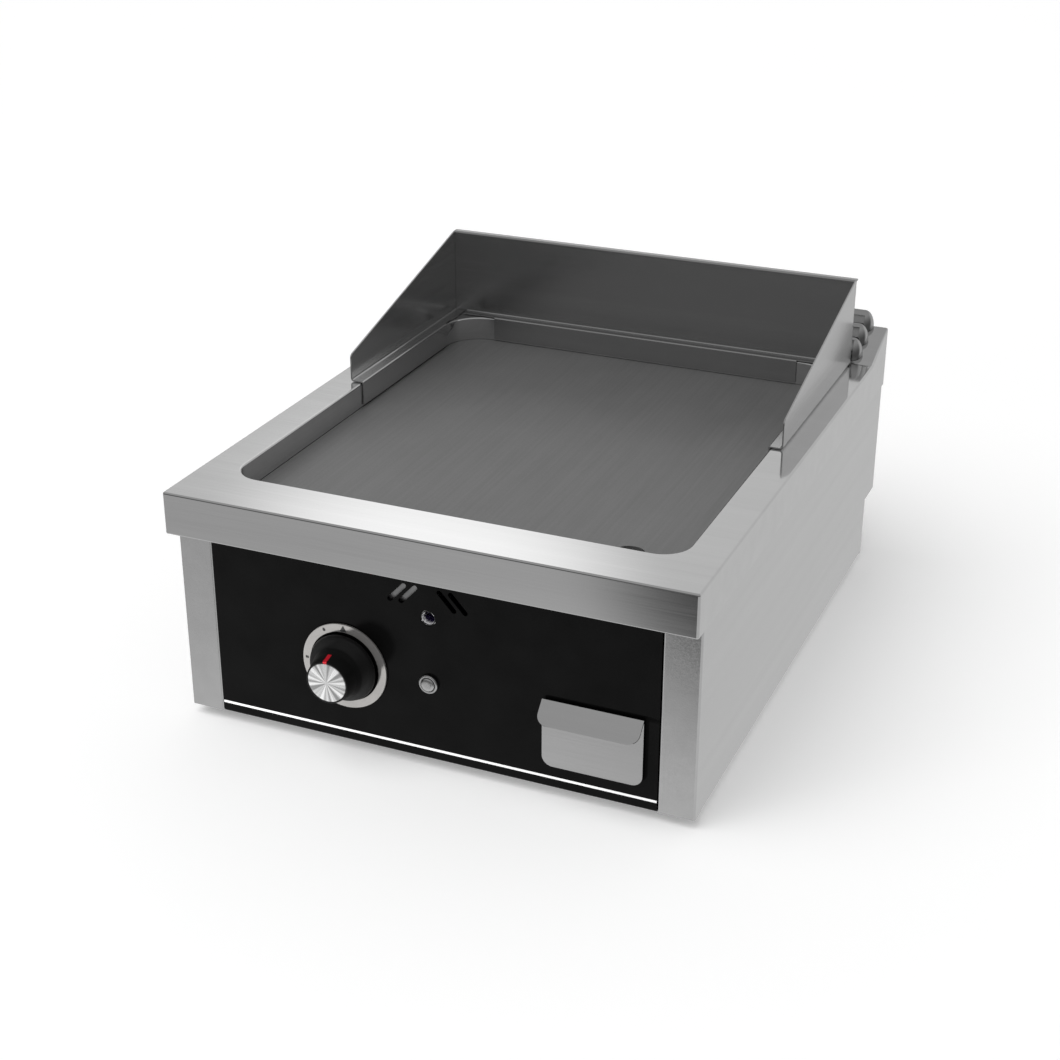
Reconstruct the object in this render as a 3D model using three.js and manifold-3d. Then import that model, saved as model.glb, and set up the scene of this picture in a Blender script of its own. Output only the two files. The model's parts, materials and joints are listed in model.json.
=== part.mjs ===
// Countertop gas griddle, one 400 mm module, as an assembly of separate pieces.
//
// Millimetres, +Z up, front towards -Y, right towards +X. The pieces are drawn in design
// coordinates: X = 0 on the centre line, Y = 0 at the fascia's front face and Z = 0 at the
// casing's bottom edge. The exported group moves them so that Z = 0 is the worktop and the
// whole object is centred front to back.
import * as THREE from 'three';
import { mergeVertices } from 'three/addons/utils/BufferGeometryUtils.js';
import Module from 'manifold-3d';

const wasm = await Module();
wasm.setup();

// Casing
const HALF_WIDTH = 200;
const DEPTH = 500;
const DECK_Z = 179.5;
const FOOT_HEIGHT = 8;
const SHEET = 1;
const GAP = 0.3;
const LIP_HEIGHT = 32.5;
const LIP_Z = DECK_Z - LIP_HEIGHT;
const HEM_DEPTH = 13;
const BODY_FRONT = 14.5;
const SIDE_OUTER = HALF_WIDTH - SHEET - GAP;
const SIDE_INNER = SIDE_OUTER - SHEET;
const SIDE_REAR = DEPTH - SHEET - GAP;
const PILLAR_INNER = 171.5;
const PILLAR_RETURN = 12;
const FLANGE = 12.7;
const STEP_REAR = 470;
const STEP_Z = 50.5;
const UNDER_DECK = DECK_Z - SHEET - GAP;
const PANEL_SHEET = 1.5;
const PANEL_TOP = 166;
const PANEL_HALF = PILLAR_INNER - GAP;

// Flue at the back: an inclined face with three hoods over slots
const FLUE_FRONT = 452;
const FLUE_RISE = 19.3;
const FLUE_SLOPE = FLUE_RISE / (DEPTH - FLUE_FRONT);
const HOOD_RIMS = [463.4, 480.7, 497.8];
const HOOD_HALF = 187.8;
const HOOD_END = 8;
const HOOD_DEPTH = 8.5;
const HOOD_RISE = 13.8;
const HOOD_SHEET = 1;

// Cooking well and griddle plate
const WELL_HALF = 171.5;
const WELL_FRONT = 46;
const WELL_BACK = 438;
const WELL_FRONT_RADIUS = 21;
const WELL_BACK_RADIUS = 31;
const PLATE_TOP = DECK_Z - 20;
const PLATE_THICKNESS = 10;
const PLATE_BOTTOM = PLATE_TOP - PLATE_THICKNESS;
const DRAIN_X = 123.5;
const DRAIN_Y = 78.3;
const DRAIN_RADIUS = 11;

// Splash guard
const GUARD_SHEET = 1.2;
const GUARD_OUTER = 181.6;
const GUARD_FRONT = 248;
const GUARD_BACK = 446;
const GUARD_TOP = DECK_Z + 73.7;
const WING_FRONT_TOP = DECK_Z + 23;
const GUARD_FOOT = DECK_Z + GAP;
const GUARD_SKIRT = DECK_Z - 18.5;
const GUARD_HEM = 6;

// Controls on the front panel
const CONTROL_Z = 62;
const KNOB_X = -66.3;
const DIAL_RADIUS = 33.5;
const DIAL_INNER = 27.2;
const DIAL_FRONT = 12.9;
const KNOB_FACE = -13.8;
const CAP_RADIUS = 15;
const SPINDLE_RADIUS = 3;
const SKIRT_RADIUS = 26;
const SKIRT_BACK = 11;
const POINTER_TURN = (-3.5 * Math.PI) / 180;
const BEZEL_RADIUS = 7.2;
const BUTTON_RADIUS = 5.2;
const BUTTON_FACE = 10.8;
const SIGHT_X = 0.3;
const SIGHT_Z = 113.7;
const SIGHT_RADIUS = 6;
const SLOT_RADIUS = 1.85;
const SLOT_TOPS = [9.3, 17.9];
const SLOT_TOP_Z = 135.3;
const SLOT_RUN = 10.9;
const SLOT_DROP = 11.9;

// Grease tray and its opening in the panel
const TRAY_LEFT = 87;
const TRAY_RIGHT = 161;
const TRAY_LOW = 19;
const TRAY_HIGH = 72.8;
const TRAY_CORNER = 8;
const TRAY_BOX_BACK = 235;
const TRAY_BOX_LOW = 24;
const TRAY_BOX_HIGH = 66;
const TRAY_MARGIN = 4;
const TRAY_SHEET = 0.8;
const LIP_REACH = 20;

// Gas parts
const BURNER_Z = 108;
const BURNER_ARM_X = 75;
const BURNER_RADIUS = 13;
const BURNER_SHEET = 1.2;
const MANIFOLD_Y = 125;
const ARM_END = 405;
const VENTURI_MOUTH = 60;
const TAP_PORT_Y = 45;
const SHIELD_Z = 78;
const SHIELD_FRONT = 60;
const INLET_X = -140;
const INLET_Z = 26;
const PROBE_Y = 100;
const PROBE_X = -6;
const SPARK_X = 8;
const PILOT_X = -22;

// ---------------------------------------------------------------- geometry helpers

function toSolid(geometry) {
  const bare = geometry.clone();
  bare.deleteAttribute('normal');
  bare.deleteAttribute('uv');
  const merged = mergeVertices(bare, 1e-4);
  const corners = merged.index.array;
  const kept = [];
  for (let i = 0; i < corners.length; i += 3) {
    const [a, b, c] = [corners[i], corners[i + 1], corners[i + 2]];
    if (a !== b && b !== c && c !== a) kept.push(a, b, c);
  }
  return new wasm.Manifold(new wasm.Mesh({
    numProp: 3,
    vertProperties: new Float32Array(merged.attributes.position.array),
    triVerts: new Uint32Array(kept),
  }));
}

function toGeometry(solid) {
  const mesh = solid.getMesh();
  const geometry = new THREE.BufferGeometry();
  geometry.setAttribute('position', new THREE.BufferAttribute(mesh.vertProperties, 3));
  geometry.setIndex(new THREE.BufferAttribute(mesh.triVerts, 1));
  geometry.computeVertexNormals();
  return geometry;
}

function join(...geometries) {
  return toGeometry(geometries.map(toSolid).reduce((sum, next) => sum.add(next)));
}

function cut(geometry, ...tools) {
  return toGeometry(tools.map(toSolid).reduce((rest, tool) => rest.subtract(tool), toSolid(geometry)));
}

function common(geometry, other) {
  return toGeometry(toSolid(geometry).intersect(toSolid(other)));
}

function box(x0, x1, y0, y1, z0, z1) {
  const geometry = new THREE.BoxGeometry(x1 - x0, y1 - y0, z1 - z0);
  return geometry.translate((x0 + x1) / 2, (y0 + y1) / 2, (z0 + z1) / 2);
}

// A box given for the right-hand side, mirrored when side is -1.
function sideBox(side, x0, x1, y0, y1, z0, z1) {
  return side > 0 ? box(x0, x1, y0, y1, z0, z1) : box(-x1, -x0, y0, y1, z0, z1);
}

function rodX(radius, x0, x1, y, z, sides = 24) {
  const geometry = new THREE.CylinderGeometry(radius, radius, x1 - x0, sides).rotateZ(Math.PI / 2);
  return geometry.translate((x0 + x1) / 2, y, z);
}

function rodY(radius, y0, y1, x, z, sides = 24) {
  return new THREE.CylinderGeometry(radius, radius, y1 - y0, sides).translate(x, (y0 + y1) / 2, z);
}

function rodZ(radius, z0, z1, x, y, sides = 24) {
  const geometry = new THREE.CylinderGeometry(radius, radius, z1 - z0, sides).rotateX(Math.PI / 2);
  return geometry.translate(x, y, (z0 + z1) / 2);
}

// Turned piece on a front-to-back axis. Profile points are [radius, y], front to back
// along the outside and back again along the inside.
function turnedY(profile, x, z, sides = 24) {
  const points = profile.map(([radius, y]) => new THREE.Vector2(radius, y));
  return new THREE.LatheGeometry(points, sides).translate(x, 0, z);
}

// Turned piece on a vertical axis. Profile points are [radius, z], bottom to top outside.
function turnedZ(profile, x, y, sides = 20) {
  const points = profile.map(([radius, z]) => new THREE.Vector2(radius, z));
  return new THREE.LatheGeometry(points, sides).rotateX(Math.PI / 2).translate(x, y, 0);
}

// Outline in the Y-Z plane, swept across from x0 to x1.
function acrossX(outline, x0, x1) {
  const shape = new THREE.Shape(outline.map(([y, z]) => new THREE.Vector2(y, z)));
  const geometry = new THREE.ExtrudeGeometry(shape, { depth: x1 - x0, bevelEnabled: false });
  const turn = new THREE.Matrix4().makeBasis(
    new THREE.Vector3(0, 1, 0), new THREE.Vector3(0, 0, 1), new THREE.Vector3(1, 0, 0));
  return geometry.applyMatrix4(turn).translate(x0, 0, 0);
}

// Shape in the X-Z plane, swept back from y0 to y1.
function backY(shape, y0, y1, curveSegments = 4) {
  const options = { depth: y1 - y0, bevelEnabled: false, curveSegments };
  return new THREE.ExtrudeGeometry(shape, options).rotateX(Math.PI / 2).translate(0, y1, 0);
}

// Shape in the X-Y plane, swept up from z0 to z1.
function upZ(shape, z0, z1, curveSegments = 6) {
  const options = { depth: z1 - z0, bevelEnabled: false, curveSegments };
  return new THREE.ExtrudeGeometry(shape, options).translate(0, 0, z0);
}

// Rectangle with one radius on its two lower corners and another on its two upper ones.
function roundedShape(x0, y0, x1, y1, lowRadius, highRadius) {
  const shape = new THREE.Shape();
  const quarter = Math.PI / 2;
  const corner = (x, y, radius, turns) => {
    if (radius > 0) shape.absarc(x, y, radius, turns * quarter, (turns + 1) * quarter, false);
    else shape.lineTo(x, y);
  };
  shape.moveTo(x0 + lowRadius, y0);
  corner(x1 - lowRadius, y0 + lowRadius, lowRadius, -1);
  corner(x1 - highRadius, y1 - highRadius, highRadius, 0);
  corner(x0 + highRadius, y1 - highRadius, highRadius, 1);
  corner(x0 + lowRadius, y0 + lowRadius, lowRadius, 2);
  return shape;
}

function slotShape(ax, ay, bx, by, radius) {
  const along = Math.atan2(by - ay, bx - ax);
  const shape = new THREE.Shape();
  shape.absarc(bx, by, radius, along - Math.PI / 2, along + Math.PI / 2, false);
  shape.absarc(ax, ay, radius, along + Math.PI / 2, along + (3 * Math.PI) / 2, false);
  return shape;
}

function hexShape(x, y, acrossFlats) {
  const reach = acrossFlats / Math.sqrt(3);
  const corners = [];
  for (let i = 0; i < 6; i += 1) {
    const angle = (i * Math.PI) / 3;
    corners.push(new THREE.Vector2(x + reach * Math.cos(angle), y + reach * Math.sin(angle)));
  }
  return new THREE.Shape(corners);
}

// Round bar along straight runs joined by bends.
function bentBar(corners, bend, radius, sides, steps) {
  const points = corners.map(([x, y, z]) => new THREE.Vector3(x, y, z));
  const path = new THREE.CurvePath();
  let from = points[0];
  for (let i = 1; i < points.length - 1; i += 1) {
    const into = points[i].clone().sub(points[i - 1]).normalize();
    const out = points[i + 1].clone().sub(points[i]).normalize();
    const start = points[i].clone().addScaledVector(into, -bend);
    const end = points[i].clone().addScaledVector(out, bend);
    path.add(new THREE.LineCurve3(from, start));
    path.add(new THREE.QuadraticBezierCurve3(start, points[i], end));
    from = end;
  }
  path.add(new THREE.LineCurve3(from, points[points.length - 1]));
  const section = new THREE.Shape();
  section.absarc(0, 0, radius, 0, 2 * Math.PI, false);
  const options = { steps, bevelEnabled: false, extrudePath: path, curveSegments: sides };
  return new THREE.ExtrudeGeometry(section, options);
}

function wellShape(inset) {
  return roundedShape(
    -WELL_HALF + inset, WELL_FRONT + inset, WELL_HALF - inset, WELL_BACK - inset,
    WELL_FRONT_RADIUS - inset, WELL_BACK_RADIUS - inset);
}

function flueHeight(y) {
  return DECK_Z + (y - FLUE_FRONT) * FLUE_SLOPE;
}

// ---------------------------------------------------------------- casing

// Pressed top: deck, fascia, side lips and flue face in one sheet, with the well wall.
function topDeck() {
  const slopeSheet = SHEET * Math.hypot(1, FLUE_SLOPE);
  const outer = acrossX([
    [0, LIP_Z], [DEPTH, LIP_Z], [DEPTH, flueHeight(DEPTH)], [FLUE_FRONT, DECK_Z], [0, DECK_Z],
  ], -HALF_WIDTH, HALF_WIDTH);
  const back = DEPTH - SHEET;
  const foldY = FLUE_FRONT + (slopeSheet - SHEET) / FLUE_SLOPE;
  const inner = acrossX([
    [SHEET, LIP_Z - SHEET], [back, LIP_Z - SHEET], [back, flueHeight(back) - slopeSheet],
    [foldY, DECK_Z - SHEET], [SHEET, DECK_Z - SHEET],
  ], -HALF_WIDTH + SHEET, HALF_WIDTH - SHEET);
  const hem = box(
    -HALF_WIDTH + SHEET / 2, HALF_WIDTH - SHEET / 2, SHEET / 2, HEM_DEPTH, LIP_Z, LIP_Z + SHEET);
  const wall = upZ(wellShape(-SHEET), PLATE_BOTTOM + GAP, DECK_Z - SHEET / 2);
  const opening = upZ(wellShape(0), PLATE_BOTTOM - SHEET, DECK_Z + SHEET);
  const slots = HOOD_RIMS.map((rim) => box(
    -HOOD_HALF + 2 * HOOD_END, HOOD_HALF - 2 * HOOD_END, rim - HOOD_DEPTH * 0.7, rim - HOOD_DEPTH * 0.2,
    flueHeight(rim) - 2 * HOOD_DEPTH, flueHeight(rim) + HOOD_RISE));
  return cut(join(cut(outer, inner), hem, wall), opening, ...slots);
}

// Side sheet with its front pillar face, pillar return, bottom flange and rear flange.
function sidePanel(side) {
  const [x0, x1] = side > 0 ? [SIDE_INNER, SIDE_OUTER] : [-SIDE_OUTER, -SIDE_INNER];
  const sheet = acrossX([
    [BODY_FRONT, 0], [STEP_REAR, 0], [STEP_REAR, STEP_Z], [SIDE_REAR, STEP_Z],
    [SIDE_REAR, UNDER_DECK], [BODY_FRONT, UNDER_DECK],
  ], x0, x1);
  const flangeInner = SIDE_OUTER - FLANGE;
  const flangeBack = SIDE_REAR - 2.5;
  const holes = screwSpots().filter(([x]) => x * side > 0).map(([x, z]) => rodY(
    2.1, flangeBack - 2, flangeBack + 1, x, z, 10));
  const folded = join(
    sheet,
    sideBox(side, PILLAR_INNER, SIDE_OUTER, BODY_FRONT, BODY_FRONT + SHEET, 0, UNDER_DECK),
    sideBox(side, PILLAR_INNER, PILLAR_INNER + SHEET, BODY_FRONT, BODY_FRONT + PILLAR_RETURN, 0, UNDER_DECK),
    sideBox(side, flangeInner, SIDE_OUTER, BODY_FRONT, STEP_REAR - 4, 0, SHEET),
    sideBox(side, flangeInner, SIDE_OUTER, flangeBack - SHEET, flangeBack, STEP_Z + 2, UNDER_DECK));
  return cut(folded, ...holes);
}

// Black control panel with its holes, air slots and the grease tray opening.
function frontPanel() {
  const back = BODY_FRONT + PANEL_SHEET;
  const sheet = box(-PANEL_HALF, PANEL_HALF, BODY_FRONT, back, 0, PANEL_TOP);
  const hem = box(-PANEL_HALF, PANEL_HALF, BODY_FRONT, BODY_FRONT + PILLAR_RETURN, 0, SHEET);
  const through = (shape, segments) => backY(shape, BODY_FRONT - SHEET, back + SHEET, segments);
  const slots = [-1, 1].flatMap((side) => SLOT_TOPS.map((near) => through(slotShape(
    side * near, SLOT_TOP_Z, side * (near + SLOT_RUN), SLOT_TOP_Z - SLOT_DROP, SLOT_RADIUS), 3)));
  const trayHole = through(roundedShape(
    TRAY_LEFT + TRAY_MARGIN - 1, TRAY_LOW + TRAY_MARGIN, TRAY_RIGHT - TRAY_MARGIN + 1,
    TRAY_HIGH - TRAY_MARGIN + 1, 1.5, 1.5), 2);
  return cut(
    join(sheet, hem),
    rodY(SPINDLE_RADIUS * 2, BODY_FRONT - SHEET, back + SHEET, KNOB_X, CONTROL_Z),
    rodY(BEZEL_RADIUS - 0.6, BODY_FRONT - SHEET, back + SHEET, 0, CONTROL_Z),
    rodY(SIGHT_RADIUS, BODY_FRONT - SHEET, back + SHEET, SIGHT_X, SIGHT_Z),
    ...slots,
    trayHole);
}

// Rear sheet, stepped forward at the bottom to make room for the gas connection.
function rearPanel() {
  const face = SIDE_REAR - SHEET;
  const low = STEP_REAR - PANEL_SHEET;
  const sheet = acrossX([
    [low, 2.6], [STEP_REAR, 2.6], [STEP_REAR, STEP_Z - SHEET], [face, STEP_Z - SHEET],
    [face, UNDER_DECK], [face - PANEL_SHEET + GAP, UNDER_DECK],
    [face - PANEL_SHEET + GAP, STEP_Z], [low, STEP_Z],
  ], -SIDE_INNER + GAP, SIDE_INNER - GAP);
  const vents = [];
  for (const z of [80, 98, 116]) {
    for (const side of [-1, 1]) {
      vents.push(backY(slotShape(side * 40, z, side * 150, z, 3.5), face - 5, face + 5, 3));
    }
  }
  const screwHoles = screwSpots().map(([x, z]) => rodY(2.1, face - 5, face + 5, x, z, 10));
  return cut(sheet, rodY(11, low - 5, STEP_REAR + 5, INLET_X, INLET_Z), ...vents, ...screwHoles);
}

function screwSpots() {
  return [[-191.5, 135], [191.5, 135], [-191.5, 66], [191.5, 66]];
}

// Pan-head screw with a cross recess, holding the rear panel to a side flange.
function rearScrew(x, z) {
  const seat = SIDE_REAR - SHEET + GAP;
  const screw = turnedY([
    [0, seat - 6], [1.8, seat - 6], [1.8, seat], [3.6, seat], [3.4, seat + 0.9], [2.2, seat + 1.5],
    [0, seat + 1.5],
  ], x, z, 12);
  const bar = (wide, high) => box(x - wide, x + wide, seat + 0.7, seat + 3, z - high, z + high);
  return cut(screw, bar(1.7, 0.4), bar(0.4, 1.7));
}

function basePanel() {
  const front = BODY_FRONT + PILLAR_RETURN + 2 * GAP;
  const sheet = box(
    -SIDE_INNER + GAP, SIDE_INNER - GAP, front, STEP_REAR - PANEL_SHEET - GAP, SHEET + GAP, 2 * SHEET + GAP);
  const vents = [];
  for (let i = 0; i < 5; i += 1) {
    const y = 120 + i * 55;
    vents.push(upZ(slotShape(-100, y, -20, y, 4), 0, 5, 3));
  }
  const studHoles = footSpots().map(([x, y]) => rodZ(3.4, 0, 5, x, y, 12));
  return cut(sheet, ...vents, ...studHoles);
}

function footSpots() {
  return [[-170, 50], [170, 50], [-170, 435], [170, 435]];
}

// Rubber foot moulded round its threaded stud.
function foot(x, y) {
  return turnedZ([
    [0, -FOOT_HEIGHT], [13, -FOOT_HEIGHT], [14, -FOOT_HEIGHT + 1], [12.5, SHEET], [3, SHEET], [3, 9], [0, 9],
  ], x, y);
}

// Hood over one flue slot: half an elongated dome, open at the back.
function flueHood(rim) {
  const dome = (inset) => {
    const end = HOOD_END - inset;
    const straight = (2 * (HOOD_HALF - inset)) / end - 2;
    const capsule = new THREE.CapsuleGeometry(1, straight, 5, 20).rotateZ(Math.PI / 2);
    return capsule.scale(end, HOOD_DEPTH - inset, HOOD_RISE - inset).translate(0, rim, flueHeight(rim));
  };
  const front = rim - 2 * HOOD_DEPTH;
  const top = flueHeight(rim) + 2 * HOOD_RISE;
  const space = acrossX([
    [front, flueHeight(front) + GAP], [rim, flueHeight(rim) + GAP], [rim, top], [front, top],
  ], -HALF_WIDTH, HALF_WIDTH);
  return cut(common(dome(0), space), dome(HOOD_SHEET));
}

// ---------------------------------------------------------------- cooking surface and guard

function griddlePlate() {
  const slab = upZ(wellShape(GAP), PLATE_BOTTOM, PLATE_TOP);
  return cut(slab, rodZ(DRAIN_RADIUS, PLATE_BOTTOM - 1, PLATE_TOP + 1, DRAIN_X, DRAIN_Y, 40));
}

// Angle that carries one edge of the griddle plate from the side panel.
function plateRail(side) {
  const top = PLATE_BOTTOM - GAP;
  const outer = SIDE_INNER - GAP;
  return join(
    sideBox(side, outer - 38, outer, 60, 425, top - 1.5, top),
    sideBox(side, outer - 1.5, outer, 60, 425, top - 30, top));
}

// One wing: a sloped upright, a flange on the deck and a skirt down inside the well.
function guardWing(side) {
  const back = GUARD_BACK - GAP;
  const inner = GUARD_OUTER - GUARD_SHEET;
  const [x0, x1] = side > 0 ? [inner, GUARD_OUTER] : [-GUARD_OUTER, -inner];
  const nose = 2.5;
  const upright = acrossX([
    [GUARD_FRONT, GUARD_FOOT], [back, GUARD_FOOT], [back, GUARD_TOP],
    [GUARD_FRONT + nose, WING_FRONT_TOP + 0.6], [GUARD_FRONT + nose * 0.3, WING_FRONT_TOP - 0.7],
    [GUARD_FRONT, WING_FRONT_TOP - nose],
  ], x0, x1);
  const skirtOuter = WELL_HALF - GAP;
  const skirtInner = skirtOuter - GUARD_SHEET;
  return join(
    upright,
    sideBox(side, skirtInner, GUARD_OUTER, GUARD_FRONT, back, GUARD_FOOT, GUARD_FOOT + GUARD_SHEET),
    sideBox(side, skirtInner, skirtOuter, GUARD_FRONT, WELL_BACK - WELL_BACK_RADIUS - 2,
      GUARD_SKIRT, GUARD_FOOT + GUARD_SHEET));
}

// Back of the guard, folded the same way as the wings, with a hem turned back along the top.
function guardBack() {
  const skirtBack = WELL_BACK - GAP;
  const reach = WELL_HALF - 3 * GAP - GUARD_SHEET;
  const skirtReach = WELL_HALF - WELL_BACK_RADIUS - 2;
  return join(
    box(-GUARD_OUTER, GUARD_OUTER, GUARD_BACK, GUARD_BACK + GUARD_SHEET, GUARD_FOOT, GUARD_TOP),
    box(-GUARD_OUTER, GUARD_OUTER, GUARD_BACK, GUARD_BACK + GUARD_HEM, GUARD_TOP - GUARD_SHEET, GUARD_TOP),
    box(-reach, reach, skirtBack - GUARD_SHEET, GUARD_BACK + GUARD_SHEET / 2,
      GUARD_FOOT, GUARD_FOOT + GUARD_SHEET),
    box(-skirtReach, skirtReach, skirtBack - GUARD_SHEET, skirtBack, GUARD_SKIRT, GUARD_FOOT + GUARD_SHEET));
}

// ---------------------------------------------------------------- controls

function dialRing() {
  const back = BODY_FRONT - GAP;
  return turnedY([
    [DIAL_INNER, DIAL_FRONT], [DIAL_RADIUS - 0.4, DIAL_FRONT], [DIAL_RADIUS, DIAL_FRONT + 0.4],
    [DIAL_RADIUS, back], [DIAL_INNER, back], [DIAL_INNER, DIAL_FRONT],
  ], KNOB_X, CONTROL_Z, 40);
}

// A piece drawn above the knob's axis, turned with the pointer to its off position.
function turnedToPointer(geometry) {
  return geometry.translate(-KNOB_X, 0, -CONTROL_Z).rotateY(POINTER_TURN).translate(KNOB_X, 0, CONTROL_Z);
}

// Knob: a cone that flares into a skirt, hollow behind, with a seat for the cap and a groove.
function controlKnob() {
  const body = turnedY([
    [0, -12.3], [CAP_RADIUS + GAP, -12.3], [CAP_RADIUS + GAP, -13.3], [15.8, -13.3], [16.2, -12.8],
    [18.3, -3], [19.8, 1.5], [21.4, 4.2], [23.8, 6], [25.4, 8], [SKIRT_RADIUS, 9.8], [SKIRT_RADIUS, SKIRT_BACK],
    [23.6, SKIRT_BACK], [18, 3], [15.6, -7], [7.5, -8], [7.5, 9],
    [SPINDLE_RADIUS + GAP, 9], [SPINDLE_RADIUS + GAP, -6], [0, -6],
  ], KNOB_X, CONTROL_Z, 36);
  const groove = box(
    KNOB_X - 1.4, KNOB_X + 1.4, -14, -4.6, CONTROL_Z + CAP_RADIUS + GAP - 0.2, CONTROL_Z + 22);
  return cut(body, turnedToPointer(groove));
}

function knobCap() {
  return turnedY([
    [0, KNOB_FACE], [CAP_RADIUS - 1.2, KNOB_FACE], [CAP_RADIUS, KNOB_FACE + 0.5],
    [CAP_RADIUS, -12.6], [0, -12.6],
  ], KNOB_X, CONTROL_Z, 36);
}

// Pointer inlay that follows the cone from the cap's rim back.
function knobPointer() {
  const low = CONTROL_Z + CAP_RADIUS + 2 * GAP - 0.1;
  return turnedToPointer(acrossX([
    [-13.2, low], [-4.9, low], [-4.9, CONTROL_Z + 18], [-8, CONTROL_Z + 17.4], [-12.6, CONTROL_Z + 16.6],
    [-13.2, CONTROL_Z + 16.2],
  ], KNOB_X - 1.1, KNOB_X + 1.1));
}

function tapSpindle() {
  return turnedY([
    [0, -5.6], [SPINDLE_RADIUS - 0.4, -5.6], [SPINDLE_RADIUS, -5.2], [SPINDLE_RADIUS, 38], [0, 38],
  ], KNOB_X, CONTROL_Z, 20);
}

// Rotor inside the tap, with a socket for the spindle.
function tapPlug() {
  const socket = SPINDLE_RADIUS + GAP;
  return turnedY([
    [socket, 22], [5, 22], [5, 29], [8, 30], [7, 52], [0, 52], [0, 43], [socket, 43], [socket, 22],
  ], KNOB_X, CONTROL_Z);
}

// Brass tap body with side inlet, top outlet and a small pilot outlet.
function gasTapBody() {
  const shell = join(
    turnedY([[0, 18], [9, 18], [9, 26], [14, 28], [14, 58], [0, 58]], KNOB_X, CONTROL_Z),
    rodX(7, KNOB_X - 26, KNOB_X, TAP_PORT_Y, CONTROL_Z, 16),
    rodZ(6.5, CONTROL_Z, CONTROL_Z + 24, KNOB_X, TAP_PORT_Y, 16),
    rodX(4, KNOB_X, KNOB_X + 21, 38, CONTROL_Z, 12));
  const bore = turnedY([[0, 17], [5.4, 17], [5.4, 29], [8.5, 29.6], [7.5, 52.5], [0, 52.5]], KNOB_X, CONTROL_Z);
  return cut(shell, bore);
}

function tapMagnetUnit() {
  return turnedY([
    [0, 58.3], [10, 58.3], [10, 63], [8.5, 64], [8.5, 76], [4, 80], [0, 80],
  ], KNOB_X, CONTROL_Z, 20);
}

function igniterBezel() {
  const back = BODY_FRONT - GAP;
  return turnedY([
    [BUTTON_RADIUS + GAP, 12.6], [BUTTON_RADIUS + 0.7, 12.2], [BEZEL_RADIUS - 0.6, 12.2], [BEZEL_RADIUS, 12.9],
    [BEZEL_RADIUS, back], [BUTTON_RADIUS + GAP, back], [BUTTON_RADIUS + GAP, 12.6],
  ], 0, CONTROL_Z, 28);
}

function igniterButton() {
  return turnedY([
    [0, BUTTON_FACE], [BUTTON_RADIUS - 1.2, BUTTON_FACE + 0.1], [BUTTON_RADIUS, BUTTON_FACE + 0.9],
    [BUTTON_RADIUS, 26], [0, 26],
  ], 0, CONTROL_Z);
}

function igniterBody() {
  const bore = BUTTON_RADIUS + GAP;
  return turnedY([
    [bore, BODY_FRONT], [6.3, BODY_FRONT], [6.3, BODY_FRONT + 1.8], [8, BODY_FRONT + 1.8], [8, 46],
    [4, 50], [0, 50], [0, 32], [bore, 32], [bore, BODY_FRONT],
  ], 0, CONTROL_Z, 20);
}

function igniterNut() {
  return cut(backY(hexShape(0, CONTROL_Z, 21), 17, 21), rodY(8 + GAP, 16, 22, 0, CONTROL_Z));
}

function sightTube() {
  const outer = SIGHT_RADIUS - GAP;
  const back = BODY_FRONT + PANEL_SHEET;
  return turnedY([
    [outer - 0.7, BODY_FRONT + 0.2], [outer, BODY_FRONT + 0.2], [outer, back + GAP], [9, back + GAP],
    [9, back + 1.5], [outer, back + 1.5], [outer, 62], [outer - 0.7, 62], [outer - 0.7, BODY_FRONT + 0.2],
  ], SIGHT_X, SIGHT_Z);
}

function sightGlass() {
  return rodY(SIGHT_RADIUS - 4 * GAP - 0.2, 50, 52, SIGHT_X, SIGHT_Z);
}

// ---------------------------------------------------------------- gas line and burner

function inletConnector() {
  const tail = turnedY([
    [7, 455], [10.2, 455], [10.2, 496], [9.6, 497], [7, 497], [7, 455],
  ], INLET_X, INLET_Z);
  const collar = cut(
    backY(hexShape(INLET_X, INLET_Z, 27), STEP_REAR + GAP, STEP_REAR + 5),
    rodY(8, STEP_REAR - 1, STEP_REAR + 6, INLET_X, INLET_Z));
  return join(tail, collar);
}

function inletLocknut() {
  const front = STEP_REAR - PANEL_SHEET - GAP - 5;
  return cut(
    backY(hexShape(INLET_X, INLET_Z, 27), front, front + 5),
    rodY(10.5, front - 1, front + 6, INLET_X, INLET_Z));
}

function feedPipe() {
  return bentBar([
    [INLET_X, 454.7, INLET_Z], [INLET_X, TAP_PORT_Y, INLET_Z], [INLET_X, TAP_PORT_Y, CONTROL_Z],
    [KNOB_X - 26 - GAP, TAP_PORT_Y, CONTROL_Z],
  ], 22, 5, 4, 44);
}

function outletPipe() {
  return rodZ(4, CONTROL_Z + 24 + GAP, BURNER_Z - 8 - GAP, KNOB_X, TAP_PORT_Y, 12);
}

// Elbow block with the nozzle that points into the burner's mouth.
function burnerInjector() {
  const nozzle = turnedY([
    [0, 52], [5.5, 52], [5.5, 58], [4, 60], [2.2, 65], [0.8, 65], [0.8, 60], [0, 60],
  ], KNOB_X, BURNER_Z, 12);
  return join(
    box(KNOB_X - 7, KNOB_X + 7, TAP_PORT_Y - 7, TAP_PORT_Y + 7.5, BURNER_Z - 8, BURNER_Z + 8),
    nozzle);
}

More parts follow.
